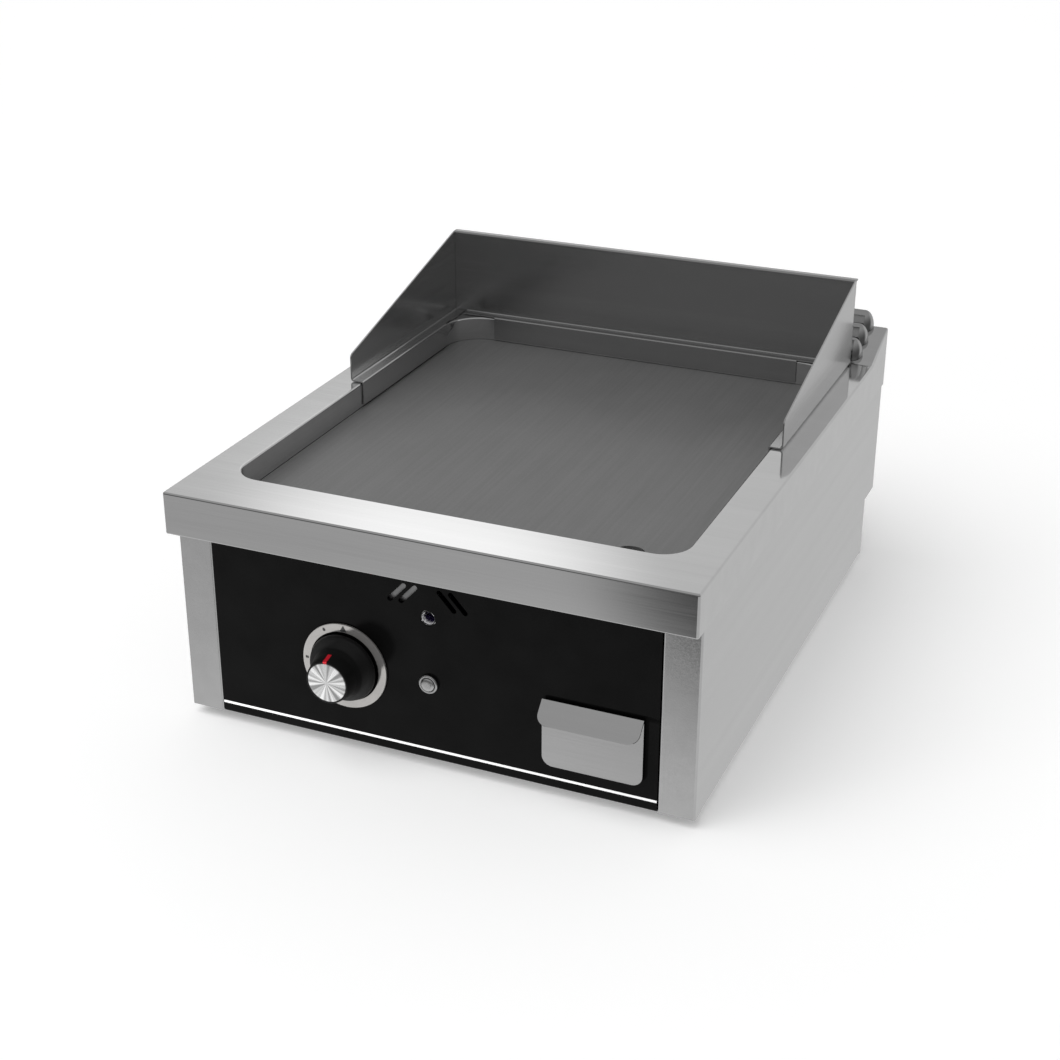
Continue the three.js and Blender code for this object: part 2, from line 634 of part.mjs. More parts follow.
// Tube burner: one mouth, a cross tube and two arms with rows of flame ports.
function burner() {
  const tubes = (radius, mouth, end) => join(
    rodY(radius, mouth, MANIFOLD_Y, KNOB_X, BURNER_Z, 20),
    rodX(radius, -BURNER_ARM_X, BURNER_ARM_X, MANIFOLD_Y, BURNER_Z, 20),
    ...[-1, 1].map((side) => rodY(radius, MANIFOLD_Y - radius, end, side * BURNER_ARM_X, BURNER_Z, 20)));
  const outer = tubes(BURNER_RADIUS, VENTURI_MOUTH, ARM_END);
  const hollow = tubes(BURNER_RADIUS - BURNER_SHEET, VENTURI_MOUTH - 1, ARM_END - BURNER_SHEET);
  const ports = [];
  for (const side of [-1, 1]) {
    for (let y = 155; y <= 385; y += 23) {
      ports.push(rodZ(1.6, BURNER_Z, BURNER_Z + BURNER_RADIUS + 2, side * BURNER_ARM_X, y, 6));
    }
  }
  return cut(outer, hollow, ...ports);
}

// Air collar clamped round the burner's mouth.
function airShutter() {
  const bore = BURNER_RADIUS + GAP;
  const sleeve = turnedY([
    [bore, 66], [bore + 1.2, 66], [bore + 1.2, 82], [bore, 82], [bore, 66],
  ], KNOB_X, BURNER_Z, 20);
  return cut(sleeve, box(KNOB_X - 5, KNOB_X + 5, 70, 78, BURNER_Z - 20, BURNER_Z + 20));
}

// Saddle plate that carries both burner arms.
function burnerSaddle(y) {
  const plate = box(-96, 96, y, y + 1.5, SHIELD_Z + SHEET + GAP, BURNER_Z - 2);
  const nests = [-1, 1].map((side) => rodY(
    BURNER_RADIUS + GAP, y - 1, y + 3, side * BURNER_ARM_X, BURNER_Z, 20));
  return cut(plate, ...nests);
}

// Shield between the burner and the tray, with turned-up sides.
function heatShield() {
  const outer = SIDE_INNER - 2 * GAP;
  const tray = join(
    box(-outer, outer, SHIELD_FRONT, 440, SHIELD_Z, SHIELD_Z + SHEET),
    ...[-1, 1].map((side) => sideBox(
      side, outer - SHEET, outer, SHIELD_FRONT, 440, SHIELD_Z, SHIELD_Z + 14)));
  return cut(
    tray,
    rodZ(DRAIN_RADIUS + 2.6, SHIELD_Z - 1, SHIELD_Z + 2, DRAIN_X, DRAIN_Y),
    rodZ(3, SHIELD_Z - 1, SHIELD_Z + 2, PROBE_X, PROBE_Y, 12),
    rodZ(3.8, SHIELD_Z - 1, SHIELD_Z + 2, SPARK_X, PROBE_Y, 12));
}

function pilotPipe() {
  return bentBar([
    [KNOB_X + 21 + GAP, 38, CONTROL_Z], [PILOT_X, 38, CONTROL_Z], [PILOT_X, 38, 92], [PILOT_X, 88, 92],
  ], 9, 2, 3, 30);
}

function pilotBurner() {
  const head = rodZ(4, 86, 104, PILOT_X, 93, 12);
  return join(rodY(3.4, 88 + GAP, 94, PILOT_X, 92, 12), head, box(PILOT_X - 3, PILOT_X + 9, 91, 95, 104 - 1, 105.2));
}

function pilotBracket() {
  return join(
    box(-34, 18, 105, 106.2, SHIELD_Z + SHEET + GAP, 99),
    box(-34, 18, 105, 112, SHIELD_Z + SHEET + GAP, SHIELD_Z + 2 * SHEET + GAP));
}

// Thermocouple: a stiff lead from the tap's magnet unit up to the hot tip.
function thermocouple() {
  const lead = bentBar([
    [KNOB_X, 80 + GAP, CONTROL_Z], [KNOB_X, PROBE_Y, CONTROL_Z], [PROBE_X, PROBE_Y, CONTROL_Z],
    [PROBE_X, PROBE_Y, 90],
  ], 8, 1.4, 3, 32);
  return join(lead, rodZ(2.4, 84, 107, PROBE_X, PROBE_Y, 12));
}

function sparkElectrode() {
  return turnedZ([
    [0, 68], [2, 68], [2, 71], [3.2, 72], [3.2, 97], [1.8, 99], [0.8, 99], [0.8, 107], [0, 107],
  ], SPARK_X, PROBE_Y, 12);
}

function ignitionLead() {
  return bentBar([
    [0, 50.3, CONTROL_Z], [0, 72, CONTROL_Z - 4], [SPARK_X, PROBE_Y, CONTROL_Z - 10],
    [SPARK_X, PROBE_Y, 68 - GAP],
  ], 7, 1.6, 3, 24);
}

// ---------------------------------------------------------------- grease path

// Spout that hangs under the plate's drain hole and ends above the tray.
function drainChute() {
  const top = PLATE_BOTTOM - GAP;
  return turnedZ([
    [DRAIN_RADIUS + 1, TRAY_BOX_HIGH + 4], [DRAIN_RADIUS + 2, TRAY_BOX_HIGH + 4], [DRAIN_RADIUS + 2, top - 1.2],
    [DRAIN_RADIUS + 6, top - 1.2], [DRAIN_RADIUS + 6, top], [DRAIN_RADIUS + 1, top],
    [DRAIN_RADIUS + 1, TRAY_BOX_HIGH + 4],
  ], DRAIN_X, DRAIN_Y);
}

function greaseTray() {
  const left = TRAY_LEFT + TRAY_MARGIN;
  const right = TRAY_RIGHT - TRAY_MARGIN;
  const outer = box(left, right, BODY_FRONT, TRAY_BOX_BACK, TRAY_BOX_LOW, TRAY_BOX_HIGH);
  const inner = box(
    left + TRAY_SHEET, right - TRAY_SHEET, BODY_FRONT + TRAY_SHEET, TRAY_BOX_BACK - TRAY_SHEET,
    TRAY_BOX_LOW + TRAY_SHEET, TRAY_BOX_HIGH + 1);
  return cut(outer, inner);
}

// Tray front: a plate over the panel opening with a finger lip folded out and down.
function trayFront() {
  const face = BODY_FRONT - GAP - GUARD_SHEET;
  const plate = backY(
    roundedShape(TRAY_LEFT, TRAY_LOW, TRAY_RIGHT, TRAY_HIGH, TRAY_CORNER, 0), face, BODY_FRONT - GAP, 4);
  const lip = upZ(
    roundedShape(TRAY_LEFT, -LIP_REACH, TRAY_RIGHT, 0, TRAY_CORNER, 0), -GUARD_SHEET, 0, 4);
  lip.rotateX(Math.PI / 4).translate(0, face + 0.5, TRAY_HIGH);
  return join(plate, lip);
}

// Z-shaped runner: stands on the base and carries one edge of the tray.
function trayRail(side) {
  const middle = (TRAY_LEFT + TRAY_RIGHT) / 2;
  const wall = (TRAY_RIGHT - TRAY_LEFT) / 2 - TRAY_MARGIN + 1;
  const at = (x0, x1, z0, z1) => {
    const [low, high] = side > 0 ? [x0, x1] : [-x1, -x0];
    return box(middle + low, middle + high, 30, TRAY_BOX_BACK + 5, z0, z1);
  };
  return join(
    at(wall, wall + SHEET, 2 * SHEET + 2 * GAP, TRAY_BOX_LOW + 16),
    at(wall - 6, wall + SHEET, TRAY_BOX_LOW - GAP - SHEET, TRAY_BOX_LOW - GAP),
    at(wall, wall + 7, 2 * SHEET + 2 * GAP, 3 * SHEET + 2 * GAP));
}

// ---------------------------------------------------------------- assembly

const FINISHES = {
  steel: { color: 0xb9babb, roughness: 0.32, metalness: 1 },
  satin: { color: 0x8f9092, roughness: 0.4, metalness: 1 },
  plate: { color: 0x5d5e5f, roughness: 0.55, metalness: 0.9 },
  black: { color: 0x101011, roughness: 0.35, metalness: 0.1 },
  knob: { color: 0x0c0c0d, roughness: 0.4, metalness: 0 },
  silver: { color: 0xd9d9da, roughness: 0.25, metalness: 1 },
  red: { color: 0xc8202a, roughness: 0.4, metalness: 0 },
  dial: { color: 0xc4c3be, roughness: 0.5, metalness: 0.2 },
  brass: { color: 0xb08d45, roughness: 0.35, metalness: 1 },
  copper: { color: 0xb4704a, roughness: 0.35, metalness: 1 },
  zinc: { color: 0xa7a9a8, roughness: 0.5, metalness: 0.9 },
  glass: { color: 0x2c2a44, roughness: 0.05, metalness: 0 },
  ceramic: { color: 0xece8df, roughness: 0.4, metalness: 0 },
  plastic: { color: 0x1a1a1c, roughness: 0.5, metalness: 0 },
  rubber: { color: 0x151515, roughness: 0.8, metalness: 0 },
  cable: { color: 0x8a1c1c, roughness: 0.6, metalness: 0 },
};

const assembly = new THREE.Group();

function add(name, geometry, finish) {
  const mesh = new THREE.Mesh(geometry, new THREE.MeshStandardMaterial(FINISHES[finish]));
  mesh.name = name;
  assembly.add(mesh);
}

add('top_deck', topDeck(), 'steel');
add('left_side_panel', sidePanel(-1), 'steel');
add('right_side_panel', sidePanel(1), 'steel');
add('front_panel', frontPanel(), 'black');
add('rear_panel', rearPanel(), 'satin');
add('base_panel', basePanel(), 'zinc');
HOOD_RIMS.forEach((rim, i) => add(`flue_hood_${i + 1}`, flueHood(rim), 'steel'));
screwSpots().forEach(([x, z], i) => add(`rear_screw_${i + 1}`, rearScrew(x, z), 'silver'));
footSpots().forEach(([x, y], i) => add(`foot_${i + 1}`, foot(x, y), 'rubber'));

add('griddle_plate', griddlePlate(), 'plate');
add('plate_rail_left', plateRail(-1), 'zinc');
add('plate_rail_right', plateRail(1), 'zinc');
add('guard_back', guardBack(), 'steel');
add('guard_left_wing', guardWing(-1), 'steel');
add('guard_right_wing', guardWing(1), 'steel');

add('dial_ring', dialRing(), 'dial');
add('control_knob', controlKnob(), 'knob');
add('knob_cap', knobCap(), 'silver');
add('knob_pointer', knobPointer(), 'red');
add('tap_spindle', tapSpindle(), 'satin');
add('tap_plug', tapPlug(), 'brass');
add('gas_tap_body', gasTapBody(), 'brass');
add('tap_magnet_unit', tapMagnetUnit(), 'satin');
add('igniter_bezel', igniterBezel(), 'silver');
add('igniter_button', igniterButton(), 'silver');
add('igniter_body', igniterBody(), 'plastic');
add('igniter_nut', igniterNut(), 'plastic');
add('sight_tube', sightTube(), 'silver');
add('sight_glass', sightGlass(), 'glass');

add('inlet_connector', inletConnector(), 'brass');
add('inlet_locknut', inletLocknut(), 'brass');
add('feed_pipe', feedPipe(), 'copper');
add('outlet_pipe', outletPipe(), 'copper');
add('burner_injector', burnerInjector(), 'brass');
add('burner', burner(), 'satin');
add('air_shutter', airShutter(), 'zinc');
add('burner_saddle_front', burnerSaddle(165), 'zinc');
add('burner_saddle_rear', burnerSaddle(375), 'zinc');
add('heat_shield', heatShield(), 'zinc');
add('pilot_pipe', pilotPipe(), 'copper');
add('pilot_burner', pilotBurner(), 'satin');
add('pilot_bracket', pilotBracket(), 'zinc');
add('thermocouple', thermocouple(), 'copper');
add('spark_electrode', sparkElectrode(), 'ceramic');
add('ignition_lead', ignitionLead(), 'cable');

add('drain_chute', drainChute(), 'satin');
add('grease_tray', greaseTray(), 'steel');
add('tray_front', trayFront(), 'steel');
add('tray_rail_left', trayRail(-1), 'zinc');
add('tray_rail_right', trayRail(1), 'zinc');

assembly.position.set(0, -(KNOB_FACE + DEPTH) / 2, FOOT_HEIGHT);

const griddle = new THREE.Group();
griddle.add(assembly);

export default griddle;
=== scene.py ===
"""Looks for the countertop gas griddle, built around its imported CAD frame.

Shapes are drawn in design millimetres: X right from the centre line, Y back from the
fascia's front face, Z up from the casing's bottom edge. at() moves a point to the row frame.
"""
import json
import math

import bmesh
import bpy
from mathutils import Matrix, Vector
from mathutils.geometry import delaunay_2d_cdt

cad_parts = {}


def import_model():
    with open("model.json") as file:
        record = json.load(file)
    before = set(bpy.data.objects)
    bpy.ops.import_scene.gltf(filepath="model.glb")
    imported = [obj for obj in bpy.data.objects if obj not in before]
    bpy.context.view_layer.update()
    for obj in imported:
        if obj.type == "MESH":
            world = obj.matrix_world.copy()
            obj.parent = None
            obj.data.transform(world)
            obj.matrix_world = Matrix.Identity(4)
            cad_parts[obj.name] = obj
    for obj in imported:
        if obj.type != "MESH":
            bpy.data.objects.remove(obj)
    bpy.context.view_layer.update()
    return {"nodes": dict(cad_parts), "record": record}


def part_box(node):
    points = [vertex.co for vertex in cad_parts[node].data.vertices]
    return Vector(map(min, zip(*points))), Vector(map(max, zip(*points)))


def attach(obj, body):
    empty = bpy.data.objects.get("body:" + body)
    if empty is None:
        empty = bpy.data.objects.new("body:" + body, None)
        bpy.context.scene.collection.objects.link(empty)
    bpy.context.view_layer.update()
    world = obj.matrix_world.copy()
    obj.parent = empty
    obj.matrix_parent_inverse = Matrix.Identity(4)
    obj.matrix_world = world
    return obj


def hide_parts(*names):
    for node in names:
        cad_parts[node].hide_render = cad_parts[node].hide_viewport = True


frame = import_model()

MM = 0.001
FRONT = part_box("top_deck")[0].y
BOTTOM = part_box("left_side_panel")[0].z
QUARTER = math.pi / 2
WELD = 2e-6
SHARP_ANGLE = math.radians(34)
BEVEL_ANGLE = math.radians(40)
SLIVER = 1e-3
COPLANAR = math.cos(math.radians(0.3))

# Sheet thicknesses, the bends' outer radius and the gap between neighbours, mm
SHEET = 1.0
GUARD_SHEET = 1.2
PANEL_SHEET = 1.5
BEND = 1.6
GAP = 0.3


def at(x, y, z):
    return Vector((x * MM, y * MM + FRONT, z * MM + BOTTOM))


def span(node):
    """A node's box in design millimetres: x0, x1, y0, y1, z0, z1."""
    low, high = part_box(node)
    return (low.x / MM, high.x / MM, (low.y - FRONT) / MM, (high.y - FRONT) / MM,
            (low.z - BOTTOM) / MM, (high.z - BOTTOM) / MM)


# ---------------------------------------------------------------- outlines in two dimensions

def arc(cx, cy, radius, start, end, steps):
    return [(cx + radius * math.cos(start + (end - start) * i / steps),
             cy + radius * math.sin(start + (end - start) * i / steps)) for i in range(steps + 1)]


def filleted(points, radii, closed=False, steps=6):
    """The polyline with each corner turned into an arc of the radius given for it."""
    count = len(points)
    made = []
    for i, here in enumerate(points):
        radius = radii[i] if isinstance(radii, (list, tuple)) else radii
        if radius <= 0 or (not closed and i in (0, count - 1)):
            made.append(here)
            continue
        corner = Vector(here)
        back = (Vector(points[i - 1]) - corner)
        ahead = (Vector(points[(i + 1) % count]) - corner)
        half = back.angle(ahead) / 2
        back.normalize()
        ahead.normalize()
        reach = radius / math.tan(half)
        centre = corner + (back + ahead).normalized() * (radius / math.sin(half))
        first = corner + back * reach - centre
        turn = first.angle_signed(corner + ahead * reach - centre)
        for k in range(steps + 1):
            a = -turn * k / steps
            made.append((centre.x + first.x * math.cos(a) - first.y * math.sin(a),
                         centre.y + first.x * math.sin(a) + first.y * math.cos(a)))
    return made


def rounded_box(x0, x1, y0, y1, low_radius, high_radius=None, steps=8):
    """Counterclockwise rectangle; one radius for its two low-y corners, one for the others."""
    high_radius = low_radius if high_radius is None else high_radius
    made = []
    for cx, cy, radius, turn in (
            (x1 - low_radius, y0 + low_radius, low_radius, -1),
            (x1 - high_radius, y1 - high_radius, high_radius, 0),
            (x0 + high_radius, y1 - high_radius, high_radius, 1),
            (x0 + low_radius, y0 + low_radius, low_radius, 2)):
        made += arc(cx, cy, radius, turn * QUARTER, (turn + 1) * QUARTER, steps)
    return made


def circle(cx, cy, radius, sides=48):
    return arc(cx, cy, radius, 0, 2 * math.pi, sides)[:-1]


def slot_outline(ax, ay, bx, by, radius, steps=8):
    """Round-ended slot between two end centres."""
    along = math.atan2(by - ay, bx - ax)
    return (arc(bx, by, radius, along - QUARTER, along + QUARTER, steps)
            + arc(ax, ay, radius, along + QUARTER, along + 3 * QUARTER, steps))


def inside(point, outline):
    x, y = point
    odd = False
    for i, (x1, y1) in enumerate(outline):
        x0, y0 = outline[i - 1]
        if (y0 > y) != (y1 > y) and x < (x1 - x0) * (y - y0) / (y1 - y0) + x0:
            odd = not odd
    return odd


# ---------------------------------------------------------------- meshes

class Shape:
    """Points in design millimetres and the faces on them; equal points are welded at the end.

    flats holds 1 for each face that keeps its own normal, and 0 for each that blends with its bend.
    """

    def __init__(self):
        self.points = []
        self.faces = []
        self.flats = []

    def add(self, points):
        first = len(self.points)
        self.points += [tuple(p) for p in points]
        return list(range(first, len(self.points)))

    def face(self, points):
        self.faces.append(self.add(points))
        self.flats.append(1)

    def strip(self, one, other, closed=True):
        a, b = self.add(one), self.add(other)
        for i in range(len(a) if closed else len(a) - 1):
            j = (i + 1) % len(a)
            self.faces.append([a[i], a[j], b[j], b[i]])
            self.flats.append(0)

    def loft(self, loops, closed=True):
        for one, other in zip(loops, loops[1:]):
            self.strip(one, other, closed)

    def fill(self, outline, holes, lift, lines=()):
        """The area inside outline and outside the holes, each point placed by lift(u, v)."""
        coords, edges = [], []
        for loop in [outline, *holes]:
            first = len(coords)
            coords += [Vector(p) for p in loop]
            edges += [(first + i, first + (i + 1) % len(loop)) for i in range(len(loop))]
        for a, b in lines:
            edges.append((len(coords), len(coords) + 1))
            coords += [Vector(a), Vector(b)]
        points, _, faces, *_ = delaunay_2d_cdt(coords, edges, [], 0, 1e-5)
        for corners in faces:
            a, b, c = (points[k] for k in corners)
            if abs((b - a).cross(c - a)) < SLIVER:
                continue
            middle = (a + b + c) / 3
            if inside(middle, outline) and not any(inside(middle, hole) for hole in holes):
                self.face([lift(points[c].x, points[c].y) for c in corners])

    def prism(self, outline, holes, low, high):
        """Closed solid over an outline, between lift functions low and high."""
        for lift in (low, high):
            self.fill(outline, holes, lift)
        for loop in [outline, *holes]:
            self.strip([low(u, v) for u, v in loop], [high(u, v) for u, v in loop])

    def block(self, x0, x1, y0, y1, z0, z1):
        self.prism([(x0, y0), (x1, y0), (x1, y1), (x0, y1)], [],
                   lambda u, v: (u, v, z0), lambda u, v: (u, v, z1))

    def lathe(self, profile, centre, axis, sides=96):
        """Profile points (radius, along) turned about a vertical or front-to-back axis."""
        loops = []
        for radius, along in profile:
            loop = []
            for i in range(sides):
                c, s = math.cos(2 * math.pi * i / sides), math.sin(2 * math.pi * i / sides)
                if axis == "y":
                    loop.append((centre[0] + radius * c, along, centre[1] + radius * s))
                elif axis == "z":
                    loop.append((centre[0] + radius * c, centre[1] + radius * s, along))
            loops.append(loop)
        on_axis = profile[0][0] == 0 and profile[-1][0] == 0
        self.loft(loops if on_axis else loops + [loops[0]])


def steady_normals(mesh, sharp):
    """Corner normals that keep flat areas flat and turn smoothly round the bends between them."""
    polygons = mesh.polygons
    normals = [p.normal.copy() for p in polygons]
    flags = mesh.attributes.get("flat")
    flat = [item.value for item in flags.data] if flags else [0] * len(polygons)
    beside = {}
    around = [[] for _ in mesh.vertices]
    for p in polygons:
        for key in p.edge_keys:
            beside.setdefault(key, []).append(p.index)
        for v in p.vertices:
            around[v].append(p.index)
    group = list(range(len(polygons)))

    def root(i):
        while group[i] != i:
            group[i] = group[group[i]]
            i = group[i]
        return i

    for pair in beside.values():
        if len(pair) == 2 and normals[pair[0]].dot(normals[pair[1]]) > COPLANAR:
            group[root(pair[0])] = root(pair[1])
    area = [0.0] * len(polygons)
    for p in polygons:
        area[root(p.index)] += p.area
    weight = [area[root(i)] ** 2 for i in range(len(polygons))]
    limit = math.cos(sharp)
    corners = []
    for p in polygons:
        here = normals[p.index]
        for v in p.vertices:
            if flat[p.index]:
                corners.append(here)
                continue
            total = Vector((0, 0, 0))
            for q in around[v]:
                if normals[q].dot(here) > limit:
                    total += normals[q] * weight[q]
            corners.append(total.normalized() if total.length > 0 else here)
    mesh.normals_split_custom_set(corners)
    if flags:
        mesh.attributes.remove(mesh.attributes["flat"])


def solid(name, shape, materials, body, nodes=(), thickness=0.0, facing=None, bevel=0.0,
          bevel_steps=2, sharp=SHARP_ANGLE):
    """Makes the piece. With a thickness, the shape is a sheet's outer face: facing is a direction
    that the outermost face in that direction must look along, and the sheet grows inwards."""
    mesh = bpy.data.meshes.new(name)
    bm = bmesh.new()
    flag = bm.faces.layers.int.new("flat")
    corners = [bm.verts.new(at(*p)) for p in shape.points]
    for face, flat in zip(shape.faces, shape.flats):
        bm.faces.new([corners[i] for i in face])[flag] = flat
    bmesh.ops.remove_doubles(bm, verts=bm.verts, dist=WELD)
    bmesh.ops.dissolve_degenerate(bm, edges=bm.edges, dist=WELD)
    bmesh.ops.recalc_face_normals(bm, faces=bm.faces)
    if facing is not None:
        facing = Vector(facing)
        square = [f for f in bm.faces if abs(f.normal.dot(facing)) > 0.9]
        best = max(square, key=lambda f: (round(f.calc_center_median().dot(facing), 5),
                                          f.calc_area()))
        if best.normal.dot(facing) < 0:
            bmesh.ops.reverse_faces(bm, faces=bm.faces)
    bm.to_mesh(mesh)
    bm.free()
    obj = bpy.data.objects.new(name, mesh)
    bpy.context.scene.collection.objects.link(obj)
    if thickness:
        grow = obj.modifiers.new("Thickness", "SOLIDIFY")
        grow.thickness = thickness * MM
        grow.offset = -1
        grow.use_even_offset = True
        grow.use_quality_normals = True
    if bevel:
        ease = obj.modifiers.new("Edges", "BEVEL")
        ease.width = bevel * MM
        ease.segments = bevel_steps
        ease.limit_method = "ANGLE"
        ease.angle_limit = BEVEL_ANGLE
        ease.use_clamp_overlap = True
    if obj.modifiers:
        ready = obj.evaluated_get(bpy.context.evaluated_depsgraph_get())
        final = bpy.data.meshes.new_from_object(ready)
        final.name = name
        obj.modifiers.clear()
        obj.data = final
        bpy.data.meshes.remove(mesh)
    for polygon in obj.data.polygons:
        polygon.use_smooth = True
    obj.data.set_sharp_from_angle(angle=sharp)
    steady_normals(obj.data, sharp)
    obj.data.materials.clear()
    for material in materials if isinstance(materials, (list, tuple)) else [materials]:
        obj.data.materials.append(material)
    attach(obj, body)
    if nodes:
        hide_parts(*nodes)


# ---------------------------------------------------------------- materials

class Nodes:
    """Short way to write a material's node tree."""

    def __init__(self, name):
        self.material = bpy.data.materials.new(name)
        self.material.use_nodes = True
        self.tree = self.material.node_tree
        self.shader = self.tree.nodes["Principled BSDF"]
        self.where = self.new("ShaderNodeTexCoord").outputs["Object"]

    def new(self, kind, **values):
        node = self.tree.nodes.new(kind)
        for key, value in values.items():
            setattr(node, key, value)
        return node

    def link(self, source, target):
        self.tree.links.new(source, target)

    def stretched(self, scale):
        mapping = self.new("ShaderNodeMapping")
        self.link(self.where, mapping.inputs["Vector"])
        mapping.inputs["Scale"].default_value = scale
        return mapping.outputs["Vector"]

    def noise(self, scale, detail=3.0, vector=None, rough=0.5):
        node = self.new("ShaderNodeTexNoise")
        node.inputs["Scale"].default_value = scale
        node.inputs["Detail"].default_value = detail
        node.inputs["Roughness"].default_value = rough
        self.link(vector or self.where, node.inputs["Vector"])
        return node.outputs["Fac"]

    def spread(self, source, low, high, start=0.3, end=0.7):
        node = self.new("ShaderNodeMapRange")
        self.link(source, node.inputs["Value"])
        for key, value in (("From Min", start), ("From Max", end), ("To Min", low), ("To Max", high)):
            node.inputs[key].default_value = value
        return node.outputs["Result"]

    def math(self, kind, a, b):
        node = self.new("ShaderNodeMath", operation=kind)
        for socket, value in zip(node.inputs, (a, b)):
            if isinstance(value, (int, float)):
                socket.default_value = value
            else:
                self.link(value, socket)
        return node.outputs[0]

    def tint(self, factor, dark, light):
        node = self.new("ShaderNodeMix", data_type="RGBA")
        self.link(factor, node.inputs[0])
        node.inputs[6].default_value = (*dark, 1)
        node.inputs[7].default_value = (*light, 1)
        return node.outputs[2]

    def set(self, **values):
        for key, value in values.items():
            socket = self.shader.inputs[key.replace("_", " ")]
            if isinstance(value, bpy.types.NodeSocket):
                self.link(value, socket)
            else:
                socket.default_value = value

    def bump(self, height, strength, distance):
        node = self.new("ShaderNodeBump")
        node.inputs["Strength"].default_value = strength
        node.inputs["Distance"].default_value = distance
        self.link(height, node.inputs["Height"])
        self.link(node.outputs["Normal"], self.shader.inputs["Normal"])


def grey(value, warm=0.0):
    return (value * (1 + warm), value, value * (1 - warm))


GRAIN = 900.0
BRUSHED_STRETCH = 0.012
TONE_SWING = 0.03
FINE_RELIEF = 0.00006


def brushed(name, along, tone=0.64, rough=0.2, rough_swing=0.05, smudge=0.05, bump=0.12):
    """Brushed sheet metal: fine grain along one axis, broad faint smudges across it."""
    n = Nodes(name)
    across = [GRAIN] * 3
    across["xyz".index(along)] = GRAIN * BRUSHED_STRETCH
    lines = n.noise(1.0, 3.0, n.stretched(across), 0.6)
    broad = n.noise(9.0, 2.0)
    streaks = n.noise(1.0, 2.0, n.stretched([v * 0.08 for v in across]))
    tone_mix = n.math("ADD", n.spread(lines, -0.5, 0.5), n.spread(streaks, -0.5, 0.5))
    n.set(Base_Color=n.tint(n.spread(tone_mix, 0.0, 1.0, -1.0, 1.0), grey(tone - TONE_SWING),
                            grey(tone + TONE_SWING)),
          Metallic=1.0)
    n.set(Roughness=n.math("ADD", n.spread(lines, rough - rough_swing, rough + rough_swing),
                           n.spread(broad, -smudge / 2, smudge / 2)))
    n.bump(lines, bump, FINE_RELIEF)
    return n.material


def coated(name, dark, light, rough, rough_swing, scale, bump, metallic=0.0, specular=0.5):
    """Moulded or painted surface with a fine grain and faint broad variation."""
    n = Nodes(name)
    fine = n.noise(scale, 4.0)
    broad = n.noise(scale * 0.05, 2.0)
    mix = n.math("ADD", n.spread(fine, 0.0, 0.5), n.spread(broad, 0.0, 0.5))
    n.set(Base_Color=n.tint(mix, dark, light), Metallic=metallic)
    n.set(Roughness=n.spread(fine, rough - rough_swing, rough + rough_swing))
    n.shader.inputs["Specular IOR Level"].default_value = specular
    n.bump(fine, bump, FINE_RELIEF)
    return n.material


def rolled_plate(name):
    """Thick griddle steel: matt, mottled by heat and scraping."""
    n = Nodes(name)
    mottled = n.noise(14.0, 5.0, rough=0.6)
    speckle = n.noise(650.0, 3.0)
    scrape = n.noise(1.0, 2.0, n.stretched([420.0, 9.0, 300.0]))
    mix = n.math("ADD", n.spread(mottled, 0.0, 0.55), n.spread(scrape, 0.0, 0.45))
    n.set(Base_Color=n.tint(mix, grey(0.203), grey(0.248)), Metallic=0.55)
    n.set(Roughness=n.math("ADD", n.spread(speckle, 0.46, 0.54), n.spread(mottled, -0.02, 0.03)))
    n.bump(n.math("ADD", speckle, n.math("MULTIPLY", scrape, 0.6)), 0.12, 0.00005)
    return n.material


def turned_face_painted_sheen(name, centre, rough=0.22):
    """Aluminium cap brushed from its middle out; its sheen is painted into the colour as light and dark wedges round
    the centre.
    """
    n = Nodes(name)
    offset = n.new("ShaderNodeVectorMath", operation="SUBTRACT")
    n.link(n.where, offset.inputs[0])
    offset.inputs[1].default_value = centre
    parts = n.new("ShaderNodeSeparateXYZ")
    n.link(offset.outputs[0], parts.inputs[0])
    angle = n.math("ARCTAN2", parts.outputs["X"], parts.outputs["Z"])
    spot = n.new("ShaderNodeCombineXYZ")
    n.link(angle, spot.inputs[0])
    painted_sheen_wedges = n.noise(2.6, 1.0, spot.outputs[0])
    fine = n.noise(60.0, 3.0, spot.outputs[0], 0.7)
    mix = n.math("ADD", n.spread(painted_sheen_wedges, 0.0, 0.9, 0.4, 0.58), n.spread(fine, -0.12, 0.22))
    # Painted highlight: the wedge pattern sets the base colour from dark to light grey by angle, standing in for the
    # cap's sheen.
    n.set(Base_Color=n.tint(mix, grey(0.22), grey(0.78)), Metallic=0.8)
    n.set(Roughness=n.spread(fine, rough, rough + 0.15))
    n.bump(fine, 0.15, 0.00008)
    return n.material


def painted_light_sleeve(name, mouth, depth):
    """Tube with a painted near-black front edge (painted shade), a painted bright band just inside its mouth (painted
    highlight) and painted dark purple shade further into the bore.
    """
    n = Nodes(name)
    parts = n.new("ShaderNodeSeparateXYZ")
    n.link(n.where, parts.inputs[0])
    patches = n.noise(700.0, 2.0)
    reach = n.math("ADD", parts.outputs["Y"], n.spread(patches, -0.0006, 0.0006))
    inner = n.spread(reach, 0.0, 1.0, mouth + depth * 0.35, mouth + depth)
    # Painted light: near white just inside the mouth is a painted highlight, fading to dark purple deeper in as
    # painted shade.
    painted_glow_to_shade = n.tint(inner, grey(0.95), (0.03, 0.022, 0.07))
    # Painted shade: the tube's front edge is painted near black.
    rim = n.new("ShaderNodeMix", data_type="RGBA")
    n.link(n.spread(reach, 0.0, 1.0, mouth, mouth + depth * 0.12), rim.inputs[0])
    rim.inputs[6].default_value = (*grey(0.01), 1)
    n.link(painted_glow_to_shade, rim.inputs[7])
    n.set(Base_Color=rim.outputs[2], Metallic=0.4)
    n.set(Roughness=n.spread(patches, 0.18, 0.3))
    n.bump(patches, 0.05, 0.00005)
    return n.material


